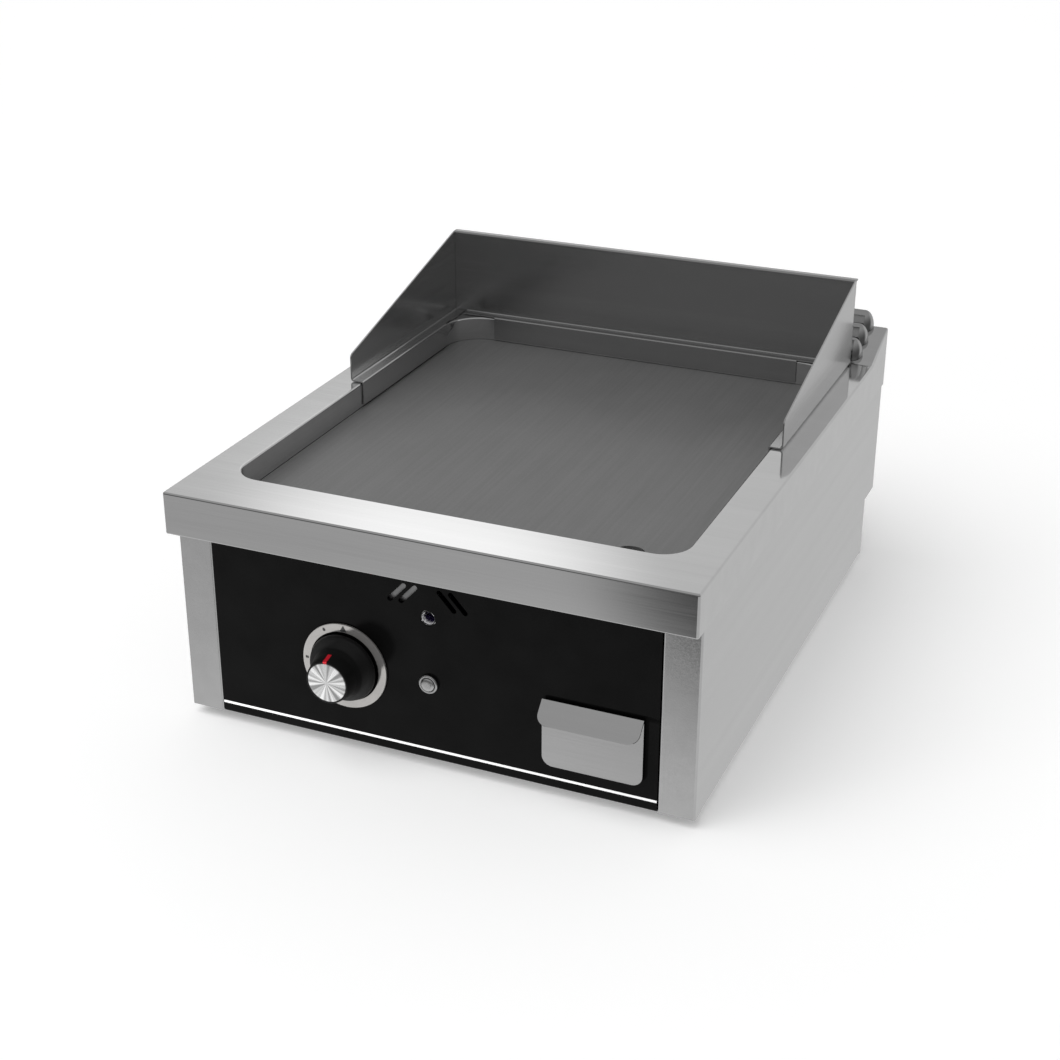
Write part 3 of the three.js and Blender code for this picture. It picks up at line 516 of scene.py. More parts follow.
STEEL_Y = brushed("steel_brushed_back", "y", tone=0.66, rough=0.14)
STEEL_DECK = brushed("steel_deck", "x", tone=0.67, rough=0.09, rough_swing=0.015, smudge=0.02,
                     bump=0.04)
# The guard's stainless is a darker copy of the deck's: painted shade standing in for the plate's dark reflection on
# the skirt and flange in the well.
STEEL_GUARD_SHADED = brushed("steel_guard", "x", tone=0.47, rough=0.24, rough_swing=0.02, smudge=0.03,
                      bump=0.035)
STEEL_WING = brushed("steel_wing", "y", tone=0.6, rough=0.22, rough_swing=0.03, smudge=0.04,
                     bump=0.08)
STEEL_HOOD = brushed("steel_hood", "x", tone=0.5, rough=0.13)
STEEL_TRAY = brushed("steel_tray_front", "x", tone=0.66, rough=0.2, bump=0.05)
BUTTON = coated("igniter_grey_metal", grey(0.6), grey(0.72), 0.3, 0.06, 1200.0, 0.06, metallic=1.0)
STEEL_INNER = brushed("steel_inner", "y", tone=0.5, rough=0.34, bump=0.1)
PLATE = rolled_plate("griddle_plate_steel")
PANEL = coated("panel_black_enamel", grey(0.0012), grey(0.0023), 0.34, 0.05, 700.0, 0.04,
               specular=0.07)
STRIPE = coated("panel_stripe_white", grey(0.3), grey(0.34), 0.4, 0.05, 900.0, 0.03)
KNOB = coated("knob_black_plastic", grey(0.003), grey(0.006), 0.42, 0.07, 1400.0, 0.12,
              specular=0.25)
PLASTIC = coated("black_plastic", grey(0.012), grey(0.022), 0.45, 0.08, 1400.0, 0.12)
RUBBER = coated("rubber_black", grey(0.018), grey(0.035), 0.75, 0.08, 900.0, 0.35)
RED = coated("pointer_red", (0.4, 0.006, 0.015), (0.48, 0.011, 0.022), 0.38, 0.05, 1500.0, 0.08)
DIAL = coated("dial_grey", grey(0.11, 0.03), grey(0.13, 0.03), 0.42, 0.05, 1200.0, 0.08)
INK = coated("dial_ink", grey(0.012), grey(0.02), 0.5, 0.05, 1500.0, 0.05)
BRASS = coated("brass", (0.5, 0.34, 0.12), (0.66, 0.48, 0.2), 0.34, 0.08, 500.0, 0.08,
               metallic=1.0)
COPPER = coated("copper", (0.5, 0.22, 0.12), (0.7, 0.36, 0.22), 0.32, 0.08, 400.0, 0.08,
                metallic=1.0)
ZINC = coated("zinc_sheet", grey(0.42), grey(0.56), 0.42, 0.1, 120.0, 0.08, metallic=1.0)
CERAMIC = coated("ceramic_white", grey(0.74, 0.03), grey(0.84, 0.03), 0.35, 0.06, 600.0, 0.06)
CABLE = coated("cable_red", (0.3, 0.012, 0.012), (0.4, 0.02, 0.02), 0.5, 0.06, 900.0, 0.1)
BRIGHT = coated("bright_metal", grey(0.72), grey(0.86), 0.24, 0.06, 900.0, 0.06, metallic=1.0)
GLASS = coated("sight_glass_dark", (0.01, 0.009, 0.03), (0.02, 0.018, 0.05), 0.08, 0.02, 300.0, 0.02)

SLOT_MATERIALS = {
    "brushed_steel": STEEL_Y, "satin_steel": STEEL_INNER, "griddle_steel": PLATE,
    "panel_black": PANEL, "knob_black": KNOB, "black_plastic": PLASTIC, "bright_metal": BRIGHT,
    "pointer_red": RED, "dial_grey": DIAL, "brass": BRASS, "copper": COPPER, "zinc_sheet": ZINC, "sight_glass": GLASS,
    "ceramic": CERAMIC, "rubber": RUBBER, "cable_red": CABLE,
}


# ---------------------------------------------------------------- top deck

DX0, DX1, DY0, DY1, _, FLUE_TOP = span("top_deck")
GX0, GX1, GY0, GY1, GZ0, GZ1 = span("griddle_plate")
PX0, PX1, PY0, _, PZ0, PZ1 = span("front_panel")
_, SX1, SY0, SY1, SZ0, SZ1 = span("right_side_panel")
LIP_DEPTH = 31.2
LIP_Z = SZ1 - LIP_DEPTH
DECK_Z = SZ1 + SHEET + GAP
FLUE_FOLD = 452.0
FLUE_SLOPE = (FLUE_TOP - DECK_Z) / (DY1 - FLUE_FOLD)
WELL = (GX0 - GAP, GX1 + GAP, GY0 - GAP, GY1 + GAP)
WELL_RADII = (21.0, 31.0)
DECK_CORNER = 1.9
CURL = 1.2
HEM = 13.0
HOOD_DEPTH = 8.5
HOOD_RISE = 13.8
HOOD_END = 8.0
HOOD_SHEET = 0.9
HOOD_LIFT = 0.35
HOODS = ["flue_hood_1", "flue_hood_2", "flue_hood_3"]


def deck_height(y):
    return DECK_Z + max(0.0, y - FLUE_FOLD) * FLUE_SLOPE


def ring(x0, x1, y0, y1, radius, stops=()):
    """Rounded rectangle with extra points where its sides pass the given y values."""
    made = []
    loop = rounded_box(x0, x1, y0, y1, radius, steps=6)
    for i, (bx, by) in enumerate(loop):
        ax, ay = loop[i - 1]
        between = [s for s in stops if min(ay, by) < s < max(ay, by)]
        for s in sorted(between, reverse=by < ay):
            made.append((ax + (bx - ax) * (s - ay) / (by - ay), s))
        made.append((bx, by))
    return made


def well_ring(outset, steps=10):
    x0, x1, y0, y1 = WELL
    return rounded_box(x0 - outset, x1 + outset, y0 - outset, y1 + outset,
                       WELL_RADII[0] + outset, WELL_RADII[1] + outset, steps)


def top_deck():
    """Deck, lips with a curled lower edge, hem, well wall and the flue face with its slots."""
    shape = Shape()
    bends = 6
    loops = []
    for k in range(bends + 1):
        a = QUARTER * k / bends
        inset = BEND * (1 - math.sin(a))
        drop = BEND * (1 - math.cos(a))
        flat = ring(DX0 + inset, DX1 - inset, DY0 + inset, DY1 - inset,
                    max(DECK_CORNER - inset, 0.3), [FLUE_FOLD])
        loops.append([(x, y, deck_height(y) - drop) for x, y in flat])
    edge = [(x, y) for x, y, _ in loops[0]]
    for k in range(bends):
        a = QUARTER * k / (bends - 1)
        inset = CURL * (1 - math.cos(a))
        flat = ring(DX0 + inset, DX1 - inset, DY0 + inset, DY1 - inset,
                    DECK_CORNER - inset, [FLUE_FOLD])
        loops.append([(x, y, LIP_Z + CURL * (1 - math.sin(a))) for x, y in flat])
    shape.loft(loops)
    hem_x = DX1 - DECK_CORNER
    shape.face([(-hem_x, CURL, LIP_Z), (hem_x, CURL, LIP_Z), (hem_x, HEM, LIP_Z),
                (-hem_x, HEM, LIP_Z)])
    walls = []
    for k in range(bends + 1):
        a = QUARTER * k / bends
        outset = BEND * (1 - math.sin(a))
        walls.append([(x, y, DECK_Z - BEND * (1 - math.cos(a))) for x, y in well_ring(outset)])
    opening = [(x, y) for x, y, _ in walls[0]]
    walls.append([(x, y, GZ0 + GAP) for x, y, _ in walls[-1]])
    shape.loft(walls)
    slots = []
    for node in HOODS:
        x0, x1, _, rim, _, _ = span(node)
        slots.append(rounded_box(x0 + 2 * HOOD_END, x1 - 2 * HOOD_END, rim - 0.7 * HOOD_DEPTH,
                                 rim - 0.2 * HOOD_DEPTH, 1.8, steps=6))
    shape.fill(edge, [opening, *slots], lambda x, y: (x, y, deck_height(y)),
               lines=[((DX0 + BEND, FLUE_FOLD), (DX1 - BEND, FLUE_FOLD))])
    solid("deck_top", shape, STEEL_DECK, "casing", ["top_deck"],
          thickness=SHEET, facing=(0, -1, 0))


def flue_hood(node):
    """Pressed hood: a quarter of a long dome, open to the rear."""
    x0, x1, _, rim, _, _ = span(node)
    foot = deck_height(rim)
    shape = Shape()
    across, around = 16, 16
    loops = []
    for j in range(around + 1):
        roll = QUARTER * j / around
        loop = []
        for side in (-1, 1):
            for i in range(across + 1):
                a = QUARTER * (i if side < 0 else across - i) / across
                reach = HOOD_END * math.cos(a)
                x = x0 + HOOD_END - reach if side < 0 else x1 - HOOD_END + reach
                y = rim - HOOD_DEPTH * math.sin(a) * math.sin(roll)
                z = (foot + HOOD_RISE * math.sin(a) * math.cos(roll)
                     - (rim - y) * FLUE_SLOPE * math.sin(roll))
                loop.append((x, y, z + HOOD_LIFT))
        loops.append(loop)
    shape.loft(loops, closed=False)
    solid(node.replace("flue_", "") + "_pressed", shape, STEEL_HOOD, "casing",
          [node], thickness=HOOD_SHEET, facing=(0, 0, 1), sharp=math.radians(50))


# ---------------------------------------------------------------- casing

STEP_REAR = 470.0
STEP_Z = 50.5
PILLAR = PX1 + GAP
RETURN_DEPTH = 12.0
SIDE_FLANGE = 12.7
FLANGE_FRONT = SY0 + 14
FLANGE_REAR = STEP_REAR - 4
REAR_SCREW_X = 191.5
REAR_SCREW_Z = (135, 66)
REAR_SCREW_HOLE = 2.1
SLOT_STARTS = (9.3, 17.9)
SLOT_LEAN = 10.9
SLOT_TOP = 135.3
SLOT_LOW = 123.4
SLOT_RADIUS = 1.85
STRIPE_LOW = 7.4
STRIPE_HIGH = 9.3
KX = (span("tap_spindle")[0] + span("tap_spindle")[1]) / 2
KZ = (span("tap_spindle")[4] + span("tap_spindle")[5]) / 2


def side_panel(side):
    name = "right" if side > 0 else "left"
    shape = Shape()
    face = SX1
    front = filleted([(PILLAR, SY0 + RETURN_DEPTH), (PILLAR, SY0), (face, SY0),
                      (face, SY0 + RETURN_DEPTH)],
                     [0, BEND, BEND, 0], steps=6)[:-1]
    columns = [(side * x, y) for x, y in front]
    shape.loft([[(x, y, z) for x, y in columns] for z in (SZ0, SZ1)], closed=False)
    start = front[-1][1]
    low = SZ0 + BEND
    outline = [(start, SZ0), (FLANGE_FRONT, SZ0), (FLANGE_FRONT, low), (FLANGE_REAR, low),
               (FLANGE_REAR, SZ0), (STEP_REAR, SZ0), (STEP_REAR, STEP_Z), (SY1, STEP_Z), (SY1, SZ1),
               (start, SZ1)]
    shape.fill(outline, [], lambda y, z: (side * face, y, z))
    flange = filleted([(face, low), (face, SZ0), (face - SIDE_FLANGE, SZ0)], [0, BEND * 0.98, 0],
                      steps=5)
    shape.loft([[(side * x, y, z) for y in (FLANGE_FRONT, FLANGE_REAR)] for x, z in flange],
               closed=False)
    solid(f"side_{name}", shape, STEEL_Y, "casing", [f"{name}_side_panel"],
          thickness=SHEET, facing=(side, 0, 0))
    rear = Shape()
    holes = [circle(side * REAR_SCREW_X, z, REAR_SCREW_HOLE, 24) for z in REAR_SCREW_Z]
    near, far = sorted((side * (face - SIDE_FLANGE), side * (face - SHEET - 0.05)))
    rear.prism([(near, STEP_Z + 2), (far, STEP_Z + 2), (far, SZ1), (near, SZ1)], holes,
               lambda u, v: (u, SY1 - 3.5, v), lambda u, v: (u, SY1 - 2.5, v))
    solid(f"side_{name}_rear_flange", rear, STEEL_INNER, "casing", bevel=0.12)


def front_panel():
    """Enamelled panel with its holes and air slots, and the printed line along its bottom."""
    shape = Shape()
    sx0, sx1, _, _, sz0, sz1 = span("sight_glass")
    bx0, bx1, _, _, _, _ = span("igniter_bezel")
    holes = [
        circle(KX, KZ, 6, 48),
        circle((bx0 + bx1) / 2, KZ, (bx1 - bx0) / 2 - 0.6, 48),
        circle((sx0 + sx1) / 2, (sz0 + sz1) / 2, 6.0, 48),
    ]
    for side in (-1, 1):
        for start in SLOT_STARTS:
            holes.append(slot_outline(side * start, SLOT_TOP, side * (start + SLOT_LEAN), SLOT_LOW,
                                      SLOT_RADIUS))
    tx0, tx1, _, _, tz0, tz1 = span("grease_tray")
    holes.append(rounded_box(tx0 - 1, tx1 + 1, tz0 - 1, tz1 + 3.8, 1.5, steps=4))
    knee = PZ0 + 4
    low = filleted([(PY0 + RETURN_DEPTH, PZ0), (PY0, PZ0), (PY0, knee)], [0, 1.7, 0], steps=5)
    shape.loft([[(x, y, z) for x in (PX0, PX1)] for y, z in low], closed=False)
    shape.fill([(PX0, knee), (PX1, knee), (PX1, PZ1), (PX0, PZ1)], holes, lambda x, z: (x, PY0, z))
    solid("control_panel", shape, PANEL, "casing", ["front_panel"],
          thickness=PANEL_SHEET, facing=(0, -1, 0), bevel=0.2)
    stripe = Shape()
    stripe.block(PX0 + 0.2, PX1 - 0.2, PY0 - 0.12, PY0 + 0.02, STRIPE_LOW, STRIPE_HIGH)
    solid("panel_stripe", stripe, STRIPE, "casing", bevel=0.03)


def slot_baffle():
    """Small angled bracket behind the left air slots."""
    shape = Shape()
    profile = [(PY0 + 3.2, 142.0), (PY0 + 3.2, 114.0), (PY0 + 10.0, 112.0)]
    line = filleted(profile, [0, 1.5, 0], steps=5)
    shape.loft([[(x, y, z) for x in (-36.0, -3.5)] for y, z in line], closed=False)
    solid("slot_baffle", shape, ZINC, "casing", thickness=0.8, facing=(0, -1, 0),
          bevel=0.1)


DRAIN_RADIUS = 11


def griddle_plate():
    shape = Shape()
    outline = rounded_box(GX0, GX1, GY0, GY1, WELL_RADII[0] - GAP, WELL_RADII[1] - GAP, 12)
    cx0, cx1, cy0, cy1, _, _ = span("drain_chute")
    drain = circle((cx0 + cx1) / 2, (cy0 + cy1) / 2, DRAIN_RADIUS, 64)
    shape.prism(outline, [drain], lambda u, v: (u, v, GZ0), lambda u, v: (u, v, GZ1))
    solid("cooking_plate", shape, PLATE, "casing", ["griddle_plate"], bevel=0.8,
          bevel_steps=4)


# ---------------------------------------------------------------- splash guard

_, BX1, BY0, BY1, BZ0, BZ1 = span("guard_back")
WX0, WX1, WY0, WY1, WZ0, WZ1 = span("guard_right_wing")
FOOT_Z = DECK_Z + GAP
FLANGE_Z = FOOT_Z + GUARD_SHEET
UPRIGHT_Y = BY1 - 6.0
GUARD_BEND = 1.5
GUARD_REACH = 169.4
SKIRT_REACH = 138.5
SKIRT_STOP = 33.0
WING_NOSE = 23.0
WING_NOSE_RADIUS = 4.5


def guard_back():
    """Skirt inside the well, flat on the deck, upright back and its folded top edge."""
    shape = Shape()
    wide, reach, skirt = BX1, GUARD_REACH, SKIRT_REACH
    turn = GUARD_BEND
    rear = BY0
    shape.loft([[(x, rear, z) for x in (-skirt, skirt)] for z in (BZ0, FLANGE_Z - turn)],
               closed=False)
    low = filleted([(rear, BZ0), (rear, FLANGE_Z), (UPRIGHT_Y, FLANGE_Z)], [0, turn, 0])[1:-1]
    shape.loft([[(x, y, z) for x in (-skirt, skirt)] for y, z in low], closed=False)
    bend = filleted([(rear, FLANGE_Z), (UPRIGHT_Y, FLANGE_Z), (UPRIGHT_Y, BZ1)], [0, turn, 0])[1:-1]
    flat_start, flat_end = rear + turn, bend[0][0]
    shape.face([(-skirt, flat_start, FLANGE_Z), (skirt, flat_start, FLANGE_Z),
                (skirt, flat_end, FLANGE_Z), (-skirt, flat_end, FLANGE_Z)])
    for side in (-1, 1):
        shape.face([(side * skirt, flat_start, FLANGE_Z), (side * skirt, flat_end, FLANGE_Z),
                    (side * reach, flat_end, FLANGE_Z), (side * reach, flat_start, FLANGE_Z)])
    for x0, x1 in ((-reach, -skirt), (-skirt, skirt), (skirt, reach)):
        shape.loft([[(x, y, z) for x in (x0, x1)] for y, z in bend], closed=False)
    knee = bend[-1][1]
    top = filleted([(UPRIGHT_Y, knee), (UPRIGHT_Y, BZ1), (BY1, BZ1)], [0, 2.0, 0])
    stations = [-wide, -reach, -skirt, skirt, reach, wide]
    for x0, x1 in zip(stations, stations[1:]):
        shape.loft([[(x, y, z) for x in (x0, x1)] for y, z in top], closed=False)
    for side in (-1, 1):
        shape.face([(side * reach, UPRIGHT_Y, knee), (side * wide, UPRIGHT_Y, knee),
                    (side * wide, UPRIGHT_Y, FOOT_Z), (side * reach, UPRIGHT_Y, FOOT_Z)])
    solid("splash_back", shape, STEEL_GUARD_SHADED, "splash_guard", ["guard_back"],
          thickness=GUARD_SHEET, facing=(0, 0, 1), bevel=0.12, bevel_steps=1)


def guard_wing(side):
    """Skirt inside the well, flat on the deck and the sloped upright wing."""
    name = "right" if side > 0 else "left"
    shape = Shape()
    inner = WX1 - GUARD_SHEET
    skirt = WX0
    turn = GUARD_BEND
    skirt_end = GY1 + GAP - SKIRT_STOP
    back = WY1
    front = WY0
    knee = FLANGE_Z + turn
    low = filleted([(skirt, WZ0), (skirt, FLANGE_Z), (inner, FLANGE_Z)], [0, turn, 0])[:-1]
    shape.loft([[(side * x, y, z) for y in (front, skirt_end)] for x, z in low], closed=False)
    bend = filleted([(skirt, FLANGE_Z), (inner, FLANGE_Z), (inner, WZ1)], [0, turn, 0])[1:-1]
    shape.loft([[(side * x, y, z) for y in (front, skirt_end, back)] for x, z in bend], closed=False)
    flat_end = bend[0][0]
    shape.fill([(skirt + turn, front), (flat_end, front), (flat_end, skirt_end), (flat_end, back),
                (skirt + turn, back), (skirt + turn, skirt_end)], [],
               lambda x, y: (side * x, y, FLANGE_Z))
    nose = filleted([(front, knee), (front, DECK_Z + WING_NOSE), (back, WZ1), (back, knee),
                     (skirt_end, knee)],
                    [0, WING_NOSE_RADIUS, 0, 0, 0], steps=8)
    shape.fill(nose, [], lambda y, z: (side * inner, y, z))
    solid(f"splash_{name}", shape, STEEL_WING, "splash_guard", [f"guard_{name}_wing"],
          thickness=GUARD_SHEET, facing=(0, 0, 1), bevel=0.12, bevel_steps=1)


# ---------------------------------------------------------------- controls

DIAL_INNER = 27.2
POINTER_TURN = math.radians(-3.5)
POINTER_HALF = 1.5
POINTER_DEPTH = 1.3


def turned_at_knob(radius, angle, y):
    """A point about the knob's axis: angle 0 is up, positive is clockwise seen from the front."""
    return (KX + radius * math.sin(angle), y, KZ + radius * math.cos(angle))


def dial():
    x0, x1, y0, y1, _, _ = span("dial_ring")
    outer, inner = (x1 - x0) / 2, DIAL_INNER
    shape = Shape()
    profile = filleted([(inner, y1), (inner, y0), (outer, y0), (outer, y1)], [0, 0.2, 0.5, 0],
                       closed=True, steps=4)
    shape.lathe(profile, (KX, KZ), "y", 128)
    solid("dial_plate", shape, DIAL, "casing", ["dial_ring"])
    marks = Shape()
    front = y0 - 0.06

    def mark(points):
        """Thin printed mark: points are (radius, degrees) about the knob's axis."""
        flat = [(r * math.sin(math.radians(a)), r * math.cos(math.radians(a))) for r, a in points]
        marks.prism(flat, [], lambda u, v: (KX + u, front, KZ + v),
                    lambda u, v: (KX + u, y0 + 0.02, KZ + v))

    mark([(32.6, 0.5), (27.9, 6.4), (27.9, -5.4)])
    flame = []
    for i in range(24):
        a = 2 * math.pi * i / 24
        body = 1.0 + 0.55 * max(0.0, math.cos(a)) ** 6
        flame.append((30.4 + 1.15 * body * math.cos(a),
                      -30 + math.degrees(0.98 * math.sin(a) / 30.4) * 1.15))
    mark(flame)
    mark([(31.4, -86), (31.4, -89.5), (28.9, -89.5), (28.9, -86)])
    solid("dial_marks", marks, INK, "casing")


def knob():
    x0, x1, y0, y1, _, _ = span("control_knob")
    skirt = (x1 - x0) / 2
    shape = Shape()
    outside = filleted([
        (0, y0 + 1.0), (15.3, y0 + 1.0), (15.3, y0), (16.1, y0), (18.3, -3), (19.8, 1.5),
        (21.3, 4.1), (23.8, 6), (25.4, 8), (skirt, 9.8), (skirt, y1), (23.6, y1), (18, 3),
        (15.6, -7), (7.5, -8), (7.5, 9), (3.3, 9), (3.3, -6), (0, -6),
    ], [0, 0, 0.15, 0.45, 12, 5, 0, 6, 3, 0.6, 0.3, 0.3, 0, 0, 0, 0.3, 0.3, 0, 0], steps=5)
    shape.lathe(outside, (KX, KZ), "y", 128)
    solid("knob_body", shape, KNOB, "knob_set", ["control_knob"])
    cx0, cx1, face, rear, _, _ = span("knob_cap")
    wide = (cx1 - cx0) / 2
    cap = Shape()
    crown = [(0, face), (3, face + 0.02), (8, face + 0.1), (12.5, face + 0.26),
             (wide - 0.6, face + 0.4), (wide - 0.15, face + 0.6), (wide, face + 0.9),
             (wide, rear + 0.25), (0, rear + 0.25)]
    cap.lathe(crown, (KX, KZ), "y", 128)
    solid("knob_face", cap, turned_face_painted_sheen("cap_radial_brushed", at(KX, 0, KZ)), "knob_set",
          ["knob_cap"])
    pointer = Shape()
    offsets = [POINTER_HALF * k for k in (-1, -0.5, 0, 0.5, 1)]

    def pointer_row(y, r):
        return [turned_at_knob(math.hypot(r, u), POINTER_TURN + math.atan2(u, r), y)
                for u in offsets]

    stations = [(-13.25, 16.25), (-12.6, 16.75), (-9, 17.45), (-4.9, 18.35)]
    top = [pointer_row(y, r) for y, r in stations]
    low = [pointer_row(y, r - POINTER_DEPTH) for y, r in stations]
    pointer.loft(top, closed=False)
    pointer.loft(low, closed=False)
    for i in (0, -1):
        pointer.strip(top[i], low[i], closed=False)
    for i in (0, -1):
        pointer.strip([row[i] for row in top], [row[i] for row in low], closed=False)
    solid("pointer_inlay", pointer, RED, "knob_set", ["knob_pointer"], bevel=0.15)


def igniter():
    x0, x1, y0, y1, z0, z1 = span("igniter_bezel")
    outer = (x1 - x0) / 2
    centre = ((x0 + x1) / 2, (z0 + z1) / 2)
    bx0, bx1, face, rear, _, _ = span("igniter_button")
    button = (bx1 - bx0) / 2
    shape = Shape()
    shape.lathe(filleted([(button + GAP, y1), (button + GAP, y0), (outer, y0), (outer, y1)],
                         [0, 0.35, 0.9, 0], closed=True, steps=5), centre, "y", 96)
    solid("igniter_collar", shape, BUTTON, "casing", ["igniter_bezel"])
    cap = Shape()
    cap.lathe([(0, face), (2, face + 0.03), (3.4, face + 0.16), (4.3, face + 0.42),
               (4.9, face + 0.85), (button, face + 1.5), (button, rear), (0, rear)],
              centre, "y", 96)
    solid("igniter_cap", cap, BUTTON, "igniter_plunger", ["igniter_button"])


def sight():
    x0, x1, _, _, z0, z1 = span("sight_glass")
    centre = ((x0 + x1) / 2, (z0 + z1) / 2)
    tx0, tx1, ty0, ty1, _, _ = span("sight_tube")
    outer, bore, flange = 5.7, 5.0, (tx1 - tx0) / 2
    near, far = PY0 + 1.8, PY0 + 3
    shape = Shape()
    shape.lathe(filleted([(bore, ty0), (outer, ty0), (outer, near), (flange, near), (flange, far),
                          (outer, far), (outer, ty1), (bore, ty1)],
                         [0.2, 0.25, 0, 0.2, 0.2, 0, 0, 0], closed=True, steps=3), centre, "y", 72)
    # The sleeve's colour carries painted shade at its rim and deep in the bore, and a painted highlight just inside.
    tube = painted_light_sleeve("sleeve_heat_tinted", at(0, ty0 + 0.35, 0).y, 5.5 * MM)
    solid("sight_sleeve", shape, tube, "casing", ["sight_tube"])


# ---------------------------------------------------------------- grease tray

TRAY_CORNER = 8.0
LIP_REACH = 20.0
LIP_FOLD = 0.8
PAN_SHEET = 0.8
PAN_RADIUS = 4.0


def tray():
    """Front plate folded over into a finger lip, and the pan behind it."""
    x0, x1, _, _, z0, z1 = span("tray_front")
    face = PY0 - GAP - GUARD_SHEET
    shape = Shape()
    drop = LIP_REACH / math.sqrt(2)
    slope = filleted([(face, z0), (face, z1), (face - drop, z1 - drop)], [0, LIP_FOLD, 0],
                     steps=6)[1:-1]
    top = slope[0][1]
    shape.fill([(x0, top), *plate_corners(x0, x1, z0), (x1, top)], [], lambda x, z: (x, face, z))
    shape.loft([[(x, y, z) for x in (x0, x1)] for y, z in slope], closed=False)
    start = slope[-1]
    along = math.hypot(start[0] - (face - drop), start[1] - (z1 - drop))
    lip = [(x0, 0.0), *lip_corners(x0, x1, along), (x1, 0.0)]
    unit = 1 / math.sqrt(2)
    shape.fill(lip, [], lambda x, s: (x, start[0] - s * unit, start[1] - s * unit))
    solid("tray_face", shape, STEEL_TRAY, "tray", ["tray_front"],
          thickness=GUARD_SHEET, facing=(0, 0, 1), bevel=0.15, bevel_steps=2)
    tx0, tx1, ty0, ty1, tz0, tz1 = span("grease_tray")
    pan = Shape()
    loops = []
    for z, inset, radius in [(tz1, 0, PAN_RADIUS), (tz0 + 3, 0, PAN_RADIUS),
                             (tz0 + 1.2, 0.5, PAN_RADIUS), (tz0 + 0.3, 1.6, PAN_RADIUS - 0.8),
                             (tz0, 3.0, PAN_RADIUS - 1.5)]:
        flat = rounded_box(tx0 + inset, tx1 - inset, ty0 + inset, ty1 - inset, radius, steps=6)
        loops.append([(x, y, z) for x, y in flat])
    pan.loft(loops)
    pan.face(loops[-1])
    solid("tray_pan", pan, STEEL_INNER, "tray", ["grease_tray"],
          thickness=PAN_SHEET, facing=(0, -1, 0), bevel=0.1, bevel_steps=1)


def plate_corners(x0, x1, z0):
    """The tray plate's two rounded lower corners, from left to right."""
    r = TRAY_CORNER
    return (arc(x0 + r, z0 + r, r, 2 * QUARTER, 3 * QUARTER, 10)
            + arc(x1 - r, z0 + r, r, 3 * QUARTER, 4 * QUARTER, 10))


def lip_corners(x0, x1, length):
    """The lip's two rounded lower corners, as (x, distance down the lip)."""
    r = TRAY_CORNER
    turns = [QUARTER * i / 10 for i in range(11)]
    left = [(x0 + r - r * math.cos(a), length - r + r * math.sin(a)) for a in turns]
    right = [(x1 - r + r * math.sin(a), length - r + r * math.cos(a)) for a in turns]
    return left + right


# ---------------------------------------------------------------- underside and back

def feet():
    for i in range(1, 5):
        node = f"foot_{i}"
        x0, x1, y0, y1, z0, z1 = span(node)
        shape = Shape()
        wide = (x1 - x0) / 2
        profile = filleted([
            (0, z0), (4, z0), (4.5, z0 + 1.2), (7, z0 + 1.2), (7.5, z0), (wide - 0.6, z0),
            (wide, z0 + 1.5), (wide - 1.4, 1.0), (3, 1.0), (3, z1), (0, z1),
        ], [0, 0, 0.2, 0.2, 0, 0.6, 0.6, 0.8, 0, 0.4, 0], steps=4)
        shape.lathe(profile, ((x0 + x1) / 2, (y0 + y1) / 2), "z", 64)
        solid(f"rubber_foot_{i}", shape, RUBBER, "casing", [node])


def keep_cad_nodes():
    """Internal parts keep their CAD shape and take a procedural finish by material slot."""
    slots = {row["slot"] for row in frame["record"]["materials"]}
    for obj in frame["nodes"].values():
        for held in obj.material_slots:
            base = held.material.name.split(".")[0] if held.material else ""
            if base in slots:
                held.material = SLOT_MATERIALS[base]


# ---------------------------------------------------------------- stage, light and camera

# Brightness of the studio round the object, by direction. A blob is an azimuth (degrees from +Y
# towards -X), an elevation, the angles where it starts and stops fading, and an amount.
FLOOR_NEAR = 0.76
FLOOR_FAR = 0.54
FRONT_ROOM = 0.12
FRONT_TOP = 0.5
BACK_LOW = 0.74
BACK_HIGH = 0.46
BLOBS = [
    (27.0, 28.5, 1.0, 8.0, 0.95),
    (26.0, 25.0, 6.0, 22.0, 0.07),
    (167.0, -25.5, 4.0, 8.0, -0.52),
]

FLOOR_SIZE = 60.0
FLOOR_SQUARES = 24
FLOOR_GLOW = 0.2
CAMERA_PLACE = (0.5108, -1.2449, 0.7252)
CAMERA_TURN = (64.7306, -0.1096, 23.1784)
CAMERA_LENS = 63.25
CAMERA_SENSOR = 36


